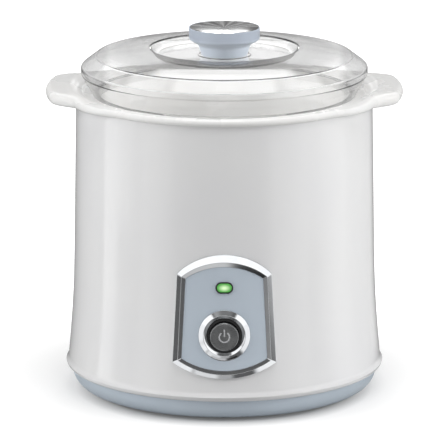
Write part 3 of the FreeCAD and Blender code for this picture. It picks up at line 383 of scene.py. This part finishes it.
clearLook = {
    "waveSize": 35, "waveDepth": 0.03, "hazeSize": 25, "roughness": (0.0, 0.03),
    # top and side are painted shade, greyer than the clear skirt
    "skirt": (252, 252, 252), "top": (211, 211, 211), "topFrom": (201.4, 203.8),
    "side": (228, 228, 228), "sideFrom": (69, 71.5), "through": (254, 254, 254),
    "sockets": {"Transmission Weight": 1.0, "IOR": 1.5},
}
lidClear = clearFinish("lidClear", clearLook)
lidPiece = meshFromGrid("lid", turned(lidPath(lid), lid["columns"]), loop=True)
fit(lidPiece, "lid", "lid_cover", lidClear)
print("lid made")


# knob and its spun metal cap

knob = {
    "corners": [(0, 202.0, 0), (13.6, 202.0, 0.5), (15.7, 208.4, 3.5), (21.1, 211.6, 2.0), (21.1, 218.6, 0.2),
                (20.6, 218.6, 0.05), (20.6, 217.6, 0.1), (0, 217.6, 0)],
    "columns": 240,
}
cap = {
    "bowl": (20.2, 218.36, 218.66),  # radius, and heights at the middle and the edge
    "rim": [(20.5, 218.6, 0.05), (20.5, 217.6, 0.1)], "under": 217.6, "steps": 24, "columns": 240,
}


def capPath(s):
    # a shallow bowl whose height goes by the square of its radius, closed by a rim and a flat underside
    reach, low, high = s["bowl"]
    t = np.linspace(0, 1, s["steps"])
    bowl = np.stack([reach * t, low + (high - low) * t ** 2], axis=1)
    return np.vstack([bowl[:-1], roundedPath([(*bowl[-1], 0), *s["rim"], (0, s["under"], 0)])])


knobLook = {
    # the foot colour is painted light: the neck below the span is paler, lifting the shade in the crease
    # under the head
    "colour": (188, 197, 210), "second": (185, 194, 208), "foot": (228, 238, 250), "footTop": (210.4, 213.4),
    "roughness": (0.34, 0.42), "driftSize": 18, "grainSize": 0.5, "grainDepth": 0.006,
    "sockets": {"IOR": 1.5},
}
knobGrey = mouldedFinish("knobBlueGrey", knobLook)


def spunFinish(name, look):
    # metal turned on a lathe: fine rings round the axis, and streaks that fan out from its middle in its
    # roughness and, as painted reflections, in its colour
    finish, tree, shader, where = startFinish(name, look["sockets"])
    waves = {"Vector": where, "Scale": 1000 / look["ringPitch"] / look["ringsPerScale"],
             "Distortion": look["ringWobble"], "Detail": fineDetail, "Detail Scale": look["wobbleScale"]}
    rings = addNode(tree, "TexWave", waves, wave_type="RINGS", rings_direction="Z").outputs["Fac"]
    tree.links.new(bump(tree, rings, look["ringDepth"]), shader.inputs["Normal"])
    flat = addNode(tree, "Mapping", {"Vector": where, "Scale": (1, 1, 0)}).outputs[0]
    turn = addNode(tree, "VectorMath", {0: flat}, operation="NORMALIZE").outputs[0]
    fan = addNode(tree, "TexNoise", {"Vector": turn, "Scale": look["streaks"],
                                     "Detail": softDetail}).outputs[0]
    tree.links.new(spread(tree, fan, *look["roughness"]), shader.inputs["Roughness"])
    # painted reflection: the colour runs from bright to dark grey along the fanning streaks
    tone = spread(tree, fan, 0.0, 1.0, *look["paintedReflectionSpan"])
    tree.links.new(twoTone(tree, tone, look), shader.inputs["Base Color"])
    along = addNode(tree, "Tangent", direction_type="RADIAL", axis="Z").outputs[0]
    tree.links.new(along, shader.inputs["Tangent"])
    return finish


capLook = {
    # the dark second colour is for the painted reflection streaks
    "colour": (246, 247, 248), "second": (104, 105, 107), "roughness": (0.04, 0.09),
    "streaks": 3.0, "paintedReflectionSpan": (0.38, 0.62), "ringPitch": 0.35, "ringDepth": 0.0006,
    "ringsPerScale": 20, "ringWobble": 0.6, "wobbleScale": 40.0,
    "sockets": {"Metallic": 1.0, "Anisotropic": 0.6},
}
capSpun = spunFinish("capSpun", capLook)
knobPiece = meshFromGrid("knob", turned(roundedPath(knob["corners"]), knob["columns"]))
fit(knobPiece, "lid", "lid_knob", knobGrey)
fit(meshFromGrid("knobCap", turned(capPath(cap), cap["columns"])), "lid", "knob_cap", capSpun)
print("knob made")


# control panel

def metalFinish(name, look):
    # polished or lacquered metal with faint fine scratches along the axis whose stretch is under 1
    finish, tree, shader, where = startFinish(name, look["sockets"])
    stretched = addNode(tree, "Mapping", {"Vector": where, "Scale": look["stretch"]}).outputs[0]
    lines = noise(tree, stretched, look["lineSize"], fineDetail)
    tone = spread(tree, noise(tree, where, look["driftSize"]), 0.0, 1.0)
    tree.links.new(twoTone(tree, tone, look), shader.inputs["Base Color"])
    tree.links.new(spread(tree, lines, *look["roughness"]), shader.inputs["Roughness"])
    tree.links.new(bump(tree, lines, look["lineDepth"]), shader.inputs["Normal"])
    return finish


chromeLook = {
    "colour": (236, 238, 240), "second": (228, 230, 233), "roughness": (0.05, 0.10), "stretch": (0.2, 1, 1),
    "lineSize": 0.6, "lineDepth": 0.0004, "driftSize": 12, "sockets": {"Metallic": 1.0},
}
frameChrome = metalFinish("frameChrome", chromeLook)

wallShape = {"rim": (88.4, 176.6), "waist": (90.0, 82.0), "flare": (93.8, 19.6)}  # radius and height


def wallRadius(z):
    # straight from the rim to the waist, then an arc that leaves it smoothly and ends at the flare
    rim, waist, flare = (np.array(wallShape[key]) for key in ("rim", "waist", "flare"))
    run = unit(waist - rim)
    side = np.array([-run[1], run[0]])
    chord = flare - waist
    arc = chord @ chord / (2 * chord @ side)
    centre = waist + arc * side
    straight = rim[0] + (waist[0] - rim[0]) * (rim[1] - z) / (rim[1] - waist[1])
    curved = centre[0] - np.sqrt(np.maximum(arc ** 2 - (z - centre[1]) ** 2, 0))
    return np.where(z >= waist[1], straight, curved)


def wallFront(x, z, rise):
    return -np.sqrt((wallRadius(z) + rise) ** 2 - x ** 2)


panelFrame = {
    "middle": 53.4,
    # half widths at the top and bottom corners, then the heights of the top corners, top crown, bottom
    # corners and bottom crown from the middle
    "outer": (27.6, 30.4, 35.6, 48.0, -17.3, -25.9),
    "ridge": (25.0, 27.3, 34.3, 43.6, -15.5, -23.2),
    "inner": (22.7, 25.2, 33.2, 40.7, -14.6, -21.2),
    "across": (0, 2.8, 5.0),
    "profile": [(0, 0.1, 0.05), (0, 1.18, 0.25), (2.8, 2.6, 0.25), (5.0, 1.4, 0.05), (5.0, 0.1, 0.05)],
    "bendSteps": 5, "guard": 0.08, "arcColumns": 160, "sideColumns": 90,
}


def crowned(x, half, corner, crown):
    # height of the circle through both corners and the crown
    rise = crown - corner
    bend = (half ** 2 + rise ** 2) / (2 * rise)
    return crown - bend + np.sign(rise) * np.sqrt(bend ** 2 - x ** 2)


def frameGrid(s):
    # a bevelled profile carried round the panel: each of its points lies between the three outlines by its
    # distance across, and stands off the round wall by its height
    path = roundedPath(s["profile"], loop=True, steps=s["bendSteps"], guard=s["guard"])
    marks = np.array([s["outer"], s["ridge"], s["inner"]])
    topHalf, lowHalf, top, topCrown, low, lowCrown = (
        np.interp(path[:, 0], s["across"], mark)[:, None] for mark in marks.T)
    t = np.linspace(0, 1, s["arcColumns"], endpoint=False)
    u = np.linspace(0, 1, s["sideColumns"], endpoint=False)
    topX = topHalf * (2 * t - 1)
    lowX = lowHalf * (1 - 2 * t)
    x = np.hstack([topX, topHalf + (lowHalf - topHalf) * u, lowX, (lowHalf - topHalf) * u - lowHalf])
    z = np.hstack([crowned(topX, topHalf, top, topCrown), top + (low - top) * u,
                   crowned(lowX, lowHalf, low, lowCrown), low + (top - low) * u]) + s["middle"]
    return np.stack([x, wallFront(x, z, path[:, 1:]), z], axis=2)


ring = {
    "middle": 53.4, "plateRise": 1.2, "seat": 0.1, "barrel": 11.55,
    "corners": [(10.45, -5.2, 0.1), (10.45, 1.05, 0.1), (12.3, 2.0, 0.25), (15.1, 0.5, 0.25),
                (15.3, -2.0, 0.05), (11.55, -2.0, 0.05), (11.55, -5.2, 0.1)],
    "columns": 240,
}


def ringGrid(s):
    # the profile turned about the button's axis, which points to the front; its foot lies on the curved plate
    spun = turned(roundedPath(s["corners"], loop=True), s["columns"])
    x, rise = spun[..., 0], spun[..., 2]
    z = spun[..., 1] + s["middle"]
    front = -(wallRadius(np.array(s["middle"])) + s["plateRise"] + rise)
    onPlate = wallFront(x, z, s["plateRise"] + s["seat"])
    outside = np.hypot(x, spun[..., 1]) > s["barrel"] + s["seat"]
    return np.stack([x, np.where(outside, np.minimum(front, onPlate), front), z], axis=2)


framePiece = meshFromGrid("panelFrame", frameGrid(panelFrame), loop=True)
fit(framePiece, "base_unit", "panel_frame", frameChrome)
ringPiece = meshFromGrid("buttonRing", ringGrid(ring), loop=True)
fit(ringPiece, "base_unit", "button_ring", frameChrome)

plateLook = {
    "colour": (194, 205, 216), "second": (191, 202, 213),
    "roughness": (0.36, 0.44), "driftSize": 22, "grainSize": 0.35, "grainDepth": 0.004,
    "sockets": {"IOR": 1.5},
}
plateGrey = mouldedFinish("plateBlueGrey", plateLook)
paint(plateGrey, "panel_plate")

blackLook = {
    "colour": (34, 34, 35), "second": (40, 40, 41),
    "roughness": (0.30, 0.42), "driftSize": 8, "grainSize": 0.5, "grainDepth": 0.006, "sockets": {"IOR": 1.5},
}
trimBlack = mouldedFinish("trimBlack", blackLook)
paint(trimBlack, "indicator_bezel", "button_sleeve", "switch_body", "power_inlet", "thermostat")

gunLook = {
    "colour": (154, 155, 156), "second": (136, 137, 138), "roughness": (0.26, 0.34), "stretch": (0.15, 1, 1),
    "lineSize": 0.4, "lineDepth": 0.0006, "driftSize": 6, "sockets": {"Metallic": 1.0},
}
buttonGun = metalFinish("buttonGunmetal", gunLook)
paint(buttonGun, "power_button")

markLook = {
    "colour": (196, 197, 199), "second": (186, 187, 190),
    "roughness": (0.35, 0.45), "driftSize": 3, "grainSize": 0.3, "grainDepth": 0.003, "sockets": {"IOR": 1.5},
}
paint(mouldedFinish("markGrey", markLook), "power_mark")


def litLensFinish(name, look):
    # a lit green lens: pale at its middle and greener to its rim, as an ellipse about its centre
    finish, tree, shader, where = startFinish(name, look["sockets"])
    low, high = (np.array(corner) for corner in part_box("indicator_lens"))
    scale = np.array([2 / (high[0] - low[0]), 0, 2 / (high[2] - low[2])])
    shift = -scale * (low + high) / 2
    centred = addNode(tree, "Mapping", {"Vector": where, "Scale": scale, "Location": shift}).outputs[0]
    far = addNode(tree, "VectorMath", {0: centred}, operation="LENGTH").outputs["Value"]
    flute = noise(tree, where, look["fluteSize"], softDetail)
    edge = spread(tree, far, 0.0, 1.0, *look["fade"])
    glow = mixed(tree, edge, colour(*look["middle"]), colour(*look["rim"]))
    tree.links.new(glow, shader.inputs["Emission Color"])
    tree.links.new(bump(tree, flute, look["fluteDepth"]), shader.inputs["Normal"])
    return finish


lensLook = {
    "middle": (228, 254, 206), "rim": (70, 150, 62), "fade": (0.1, 0.9), "fluteSize": 0.8, "fluteDepth": 0.01,
    "sockets": {"Base Color": colour(52, 96, 46), "Emission Strength": 1.0, "Roughness": 0.15, "IOR": 1.5},
}
lensGreen = litLensFinish("lensGreen", lensLook)
paint(lensGreen, "indicator_lens")
print("panel finished")


# inner works, feet, fixings and leads

steelLook = {
    "colour": (190, 192, 194), "second": (168, 170, 173), "roughness": (0.24, 0.38), "stretch": (1, 1, 0.3),
    "lineSize": 0.5, "lineDepth": 0.001, "driftSize": 4, "sockets": {"Metallic": 1.0},
}
zincSteel = metalFinish("zincSteel", steelLook)
paint(zincSteel, "base_screws", "well_screws", "heater_clamp", "fuse_clip", "sensor_screws", "board_screws",
      "inlet_screws", "knob_screw")

spring = {"wire": 0.3, "turns": 4, "around": 14, "rows": 241, "sharp": 60, "travel": 2.5}


def springGrid(s):
    # a round wire on a helix that fills the CAD spring's box: each ring of points stands on the direction
    # away from the axis and on the one square to it and to the run; both ends close to a point
    low, high = (np.array(corner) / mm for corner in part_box("button_spring"))
    reach = (high[0] - low[0]) / 2 - s["wire"]
    run = high[1] - low[1] - 2 * s["wire"]
    t = np.linspace(0, 1, s["rows"])[:, None]
    turn = 2 * pi * s["turns"] * t
    away = np.concatenate([np.cos(turn), 0 * t, np.sin(turn)], axis=1)
    axis = np.concatenate([0 * t, high[1] - s["wire"] - run * t, 0 * t + (low[2] + high[2]) / 2], axis=1)
    middle = reach * away + axis
    pitch = run / (2 * pi * s["turns"])
    along = np.concatenate([-reach * np.sin(turn), 0 * t - pitch, reach * np.cos(turn)], axis=1)
    across = np.cross(along / np.hypot(reach, pitch), away)
    b = np.linspace(0, 2 * pi, s["around"], endpoint=False)[:, None]
    wire = s["wire"] * (np.cos(b) * away[:, None] + np.sin(b) * across[:, None])
    wire = np.concatenate([0 * wire[:1], wire, 0 * wire[-1:]])
    return np.concatenate([middle[:1], middle, middle[-1:]])[:, None] + wire


springPiece = meshFromGrid("buttonSpring", springGrid(spring), sharp=spring["sharp"])
fit(springPiece, "base_unit", "button_spring", zincSteel)
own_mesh(springPiece)

wellLook = {
    "colour": (205, 207, 209), "second": (194, 196, 199), "roughness": (0.26, 0.40), "stretch": (1, 1, 0.08),
    "lineSize": 0.9, "lineDepth": 0.002, "driftSize": 30, "sockets": {"Metallic": 1.0},
}
paint(metalFinish("wellAluminium", wellLook), "heating_well")

brassLook = {
    "colour": (206, 172, 104), "second": (190, 156, 92), "roughness": (0.22, 0.36), "stretch": (1, 0.3, 1),
    "lineSize": 0.4, "lineDepth": 0.001, "driftSize": 3, "sockets": {"Metallic": 1.0},
}
paint(metalFinish("pinBrass", brassLook), "heater_nut", "inlet_pins")

smallGrain = {"driftSize": 6, "grainSize": 0.6, "grainDepth": 0.01}
smallLooks = {  # colour, second colour, roughness span, nodes
    "footRubber": ((62, 63, 66), (52, 53, 56), (0.70, 0.85), ["rubber_feet"]),
    "gasketSilicone": ((214, 214, 210), (204, 204, 200), (0.50, 0.62), ["well_gasket", "knob_washer"]),
    "heaterSilicone": ((176, 78, 52), (166, 70, 46), (0.55, 0.70), ["heater_mat"]),
    "fuseCeramic": ((222, 216, 204), (212, 206, 194), (0.45, 0.60), ["thermal_fuse"]),
    "plungerWhite": ((226, 226, 222), (216, 216, 212), (0.40, 0.50), ["switch_plunger"]),
    "boardGreen": ((38, 92, 58), (32, 82, 52), (0.35, 0.48), ["control_board"]),
    "blockGreen": ((62, 128, 74), (54, 118, 66), (0.40, 0.52), ["terminal_block"]),
    "ledEpoxy": ((206, 226, 204), (196, 218, 194), (0.12, 0.22), ["indicator_led"]),
    "leadBrown": ((112, 74, 48), (102, 66, 42), (0.40, 0.52), ["lead_live"]),
    "leadBlue": ((52, 92, 168), (46, 84, 156), (0.40, 0.52), ["lead_neutral"]),
    "leadBlack": ((36, 36, 38), (30, 30, 32), (0.40, 0.52), ["lead_switched"]),
    "leadRed": ((172, 46, 42), (160, 40, 38), (0.40, 0.52), ["lead_thermostat"]),
    "leadWhite": ((222, 222, 218), (212, 212, 208), (0.40, 0.52), ["lead_heater"]),
}
for name, (first, second, rough, where) in smallLooks.items():
    look = {"colour": first, "second": second, "roughness": rough, **smallGrain}
    paint(mouldedFinish(name, look), *where)
print("inner works finished")


# studio: pale floor, soft lamps, reflection tent and camera

def plainFinish(name, build):
    finish = bpy.data.materials.new(name)
    finish.use_nodes = True
    tree = finish.node_tree
    tree.nodes.remove(tree.nodes["Principled BSDF"])
    tree.links.new(build(tree), tree.nodes["Material Output"].inputs["Surface"])
    return finish


def combined(tree, operation, first, second):
    return addNode(tree, "Math", {0: first, 1: second}, operation=operation).outputs[0]


def seenDirectly(tree):
    # 1 where a ray comes from the camera, a reflection or a clear piece, and 0 for soft light
    path = addNode(tree, "LightPath").outputs
    seen = combined(tree, "MAXIMUM", path["Is Camera Ray"], path["Is Glossy Ray"])
    return combined(tree, "MAXIMUM", seen, path["Is Transmission Ray"])


# the floor's lift is low just round the object and grows outwards: a painted shadow round its foot
floor = {  # in metres: lift beside the object and further out, and the distances between which each grows
    "half": 9.0, "colour": (192, 192, 192),
    "contact": (0.08, 0.46), "contactFrom": (0.080, 0.095), "contactScale": (1.06, 1, 1),
    "contactShift": (0, 0.006, 0), "pool": (0.0, 0.54), "poolFrom": (0.095, 0.24),
}


def floorShader(tree):
    # a matt floor that takes shadows, lifted to white away from the object where it is seen directly, in
    # metal or through the lid; the lift is lower close to the object, most in front of it, which paints a
    # shadow round its foot
    seen = seenDirectly(tree)
    where = addNode(tree, "TexCoord").outputs["Object"]
    under = addNode(tree, "Mapping", {"Vector": where, "Scale": floor["contactScale"],
                                      "Location": floor["contactShift"]}).outputs[0]
    nearBy = addNode(tree, "VectorMath", {0: under}, operation="LENGTH").outputs["Value"]
    far = addNode(tree, "VectorMath", {0: where}, operation="LENGTH").outputs["Value"]
    # painted shadow: little lift just round the foot, stretched and moved so that it reaches furthest in
    # front and least at the sides
    contact = spread(tree, nearBy, *floor["contact"], *floor["contactFrom"])
    # painted shade: the lift grows slowly further out, a wide soft shadow round the object
    pool = spread(tree, far, *floor["pool"], *floor["poolFrom"])
    lift = combined(tree, "MULTIPLY", seen, combined(tree, "ADD", contact, pool))
    matt = addNode(tree, "BsdfDiffuse", {"Color": colour(*floor["colour"])}).outputs[0]
    glow = addNode(tree, "Emission", {"Strength": lift}).outputs[0]
    return addNode(tree, "AddShader", {0: matt, 1: glow}).outputs[0]


half = floor["half"]
floorMesh = bpy.data.meshes.new("floor")
floorCorners = [(-half, -half, 0), (half, -half, 0), (half, half, 0), (-half, half, 0)]
floorMesh.from_pydata(floorCorners, [], [(0, 1, 2, 3)])
floorMesh.materials.append(plainFinish("floorPale", floorShader))
floorPiece = bpy.data.objects.new("floor", floorMesh)
scene.collection.objects.link(floorPiece)

tent = {
    "profile": [(98, 1, 0), (460, 1, 40), (460, 780, 300), (0, 860, 0)],
    "bendSteps": 40, "columns": 900, "rows": 190,
    # from here on in metres and degrees
    "wallRadius": 0.09, "halvings": 12, "dark": 0.12, "lowTop": 0.12, "lowSoft": 0.01,
    # along the foot, by the place on the wall that shows it: start and end of the rise, of the fall, strength
    "strips": [
        (-53.4, -52, -47.5, -42.5, 1.75), (-34.5, -32, -24, -17, 0.95), (-16, -15, -11, -9, 0.15),
        (-9, -6, 6, 9, 0.2), (16, 19, 32, 35, 0.95), (34.5, 48, 50, 62, 1.3), (54, 62, 74, 84, 0.55)],
    # the same, but only above a height, which keeps them out of the panel's frame
    "highStrips": [(-47.5, -43, -42, -31, 1.1), (26, 36, 38, 47, 0.78)], "highFrom": (0.022, 0.042),
    # near the foot: bearing from the front and radius, each as rise and fall, and strength
    "apron": [
        ((-80, -70, -22, -17), (0.08, 0.09, 0.14, 0.18), 0.9),
        ((17, 22, 70, 80), (0.08, 0.09, 0.14, 0.18), 0.9),
        ((-20, -17, -6, -2), (0.08, 0.09, 0.125, 0.135), 0.7),
        ((-6, -2, 3, 7), (0.08, 0.09, 0.125, 0.135), 0.32),
        ((-20, -17, 0, 3), (0.125, 0.135, 0.16, 0.18), 0.45),
        ((2, 4, 16, 18), (0.125, 0.135, 0.16, 0.18), -0.1)],
    "apronEnd": (0.14, 0.18),
    # higher up: bearing from the front and height, each as rise and fall, and strength
    "screens": [
        ((-80, -72, 72, 80), (0.11, 0.13, 0.29, 0.31), 1.1),
        ((-75, -65, -25, -5), (0.31, 0.34, 0.44, 0.48), 0.3),
        ((-200, -190, 190, 200), (0.58, 0.66, 2.0, 3.0), 0.5),
        ((-30, -20, 20, 30), (0.34, 0.36, 0.42, 0.44), 0.09)],
    # the same at the back, with the bearing counted from the back to either side
    "backScreens": [
        ((-1, 0, 60, 65), (0.11, 0.13, 0.298, 0.304), 0.28),
        ((-1, 0, 1.4, 1.9), (0.25, 0.26, 0.290, 0.295), 5.0),
        ((-1, 0, 60, 65), (0.30, 0.306, 0.38, 0.40), 0.26),
        ((-1, 0, 9, 14), (0.455, 0.475, 0.56, 0.62), 3.0),
        ((29, 35, 64, 70), (0.38, 0.42, 0.58, 0.64), 1.5),
        ((13, 21, 72, 82), (0.62, 0.68, 0.82, 0.85), 2.8)],
    # the round light in the roof: radii of its fall, heights of its rise, and strength
    "overhead": ((0.22, 0.28), (0.6, 0.7), 4.6),
}


def tentGrid(s):
    # an upright drum with a rounded roof and a floor of its own, cut into even rows
    path = roundedPath(s["profile"], steps=s["bendSteps"])
    along = np.concatenate([[0], np.cumsum(np.linalg.norm(np.diff(path, axis=0), axis=1))])
    even = np.linspace(0, along[-1], s["rows"])
    cut = np.stack([np.interp(even, along, path[:, 0]), np.interp(even, along, path[:, 1])], axis=1)
    return turned(cut, s["columns"])


def band(v, rise, top, fall, end):
    # 0, up to 1 between rise and top, and back to 0 between fall and end
    return ease(v, rise, top) * (1 - ease(v, fall, end))


def tentGlow(s, xyz):
    # low down, brightness goes by the place on the round wall that mirrors the point to the front, found by
    # halving its bearing a few times over; higher up it goes by bearing and height, and at the top by radius
    x, y, z = xyz.T
    place = np.arctan2(x, -y) / 2
    for _ in range(s["halvings"]):
        place = np.arctan2(x - s["wallRadius"] * np.sin(place), -y - s["wallRadius"] * np.cos(place)) / 2
    place = np.degrees(place)
    bearing = np.degrees(np.arctan2(x, -y))
    behind = 180 - np.abs(bearing)
    out = np.hypot(x, y)
    low = 1 - ease(z, s["lowTop"] - s["lowSoft"], s["lowTop"] + s["lowSoft"])
    near = 1 - ease(out, *s["apronEnd"])
    glow = s["dark"] + 0 * x
    for *run, strength in s["strips"]:
        glow += strength * band(place, *run) * low * (1 - near)
    for *run, strength in s["highStrips"]:
        glow += strength * band(place, *run) * low * ease(z, *s["highFrom"])
    for run, radius, strength in s["apron"]:
        glow += strength * band(bearing, *run) * band(out, *radius) * low
    for run, height, strength in s["screens"]:
        glow += strength * band(bearing, *run) * band(z, *height)
    for run, height, strength in s["backScreens"]:
        glow += strength * band(behind, *run) * band(z, *height)
    radius, height, strength = s["overhead"]
    return glow + strength * (1 - ease(out, *radius)) * ease(z, *height)


def tentShader(tree):
    glow = addNode(tree, "Attribute", attribute_name="glow").outputs["Fac"]
    return addNode(tree, "Emission", {"Strength": glow}).outputs[0]


tentPiece = meshFromGrid("tent", tentGrid(tent))
tentPoints = np.empty(len(tentPiece.data.vertices) * 3)
tentPiece.data.vertices.foreach_get("co", tentPoints)
glowLayer = tentPiece.data.attributes.new("glow", "FLOAT", "POINT")
glowLayer.data.foreach_set("value", tentGlow(tent, tentPoints.reshape(-1, 3)).astype(np.float32))
tentPiece.data.materials.append(plainFinish("tentScreen", tentShader))
tentPiece.visible_camera = False
tentPiece.visible_diffuse = False
tentPiece.visible_transmission = False
tentPiece.visible_shadow = False

lamps = {  # degrees round from the front, degrees up, metres away, size in metres, watts
    "lampLeft": (-76, 18, 1.3, 0.9, 10.7),
    "lampRight": (76, 18, 1.3, 0.9, 10.5),
    "lampTop": (14, 68, 1.4, 1.1, 9.8),
    "lampFront": (0, 16, 2.0, 1.0, 2.0),
    "lampBack": (180, 30, 1.6, 1.0, 6.0),
}
lampAim = np.array([0, 0, 0.1])
for name, (bearing, up, away, size, watts) in lamps.items():
    light = bpy.data.lights.new(name, "AREA")
    light.shape = "DISK"
    light.size = size
    light.energy = watts
    lamp = bpy.data.objects.new(name, light)
    a, e = radians(bearing), radians(up)
    lamp.location = lampAim + away * np.array([sin(a) * cos(e), -cos(a) * cos(e), sin(e)])
    lamp.rotation_euler = (radians(90 - up), 0, a)
    lamp.visible_camera = False
    lamp.visible_glossy = False
    lamp.visible_transmission = False
    scene.collection.objects.link(lamp)

air = {"fill": 0.12, "seen": 1.0, "colour": (1, 1, 1, 1)}
world = bpy.data.worlds.new("studioAir")
world.use_nodes = True
scene.world = world
airTree = world.node_tree
backdrop = airTree.nodes["Background"].inputs
backdrop["Color"].default_value = air["colour"]
airStrength = spread(airTree, seenDirectly(airTree), air["fill"], air["seen"], 0.0, 1.0)
airTree.links.new(airStrength, backdrop["Strength"])

photoView = {  # metres and degrees, but lens and sensor in millimetres
    "aim": (0, 0, 0.0983), "away": 2.8, "up": 13.3, "lens": 375.0, "sensor": 36.0, "shiftX": -0.0008,
}
camera = bpy.data.objects.new("camera", bpy.data.cameras.new("camera"))
camera.data.lens = photoView["lens"]
camera.data.sensor_width = photoView["sensor"]
camera.data.shift_x = photoView["shiftX"]
tilt = radians(photoView["up"])
camera.location = np.array(photoView["aim"]) + photoView["away"] * np.array([0, -cos(tilt), sin(tilt)])
camera.rotation_euler = (radians(90) - tilt, 0, 0)
scene.collection.objects.link(camera)
scene.camera = camera
print("studio set")
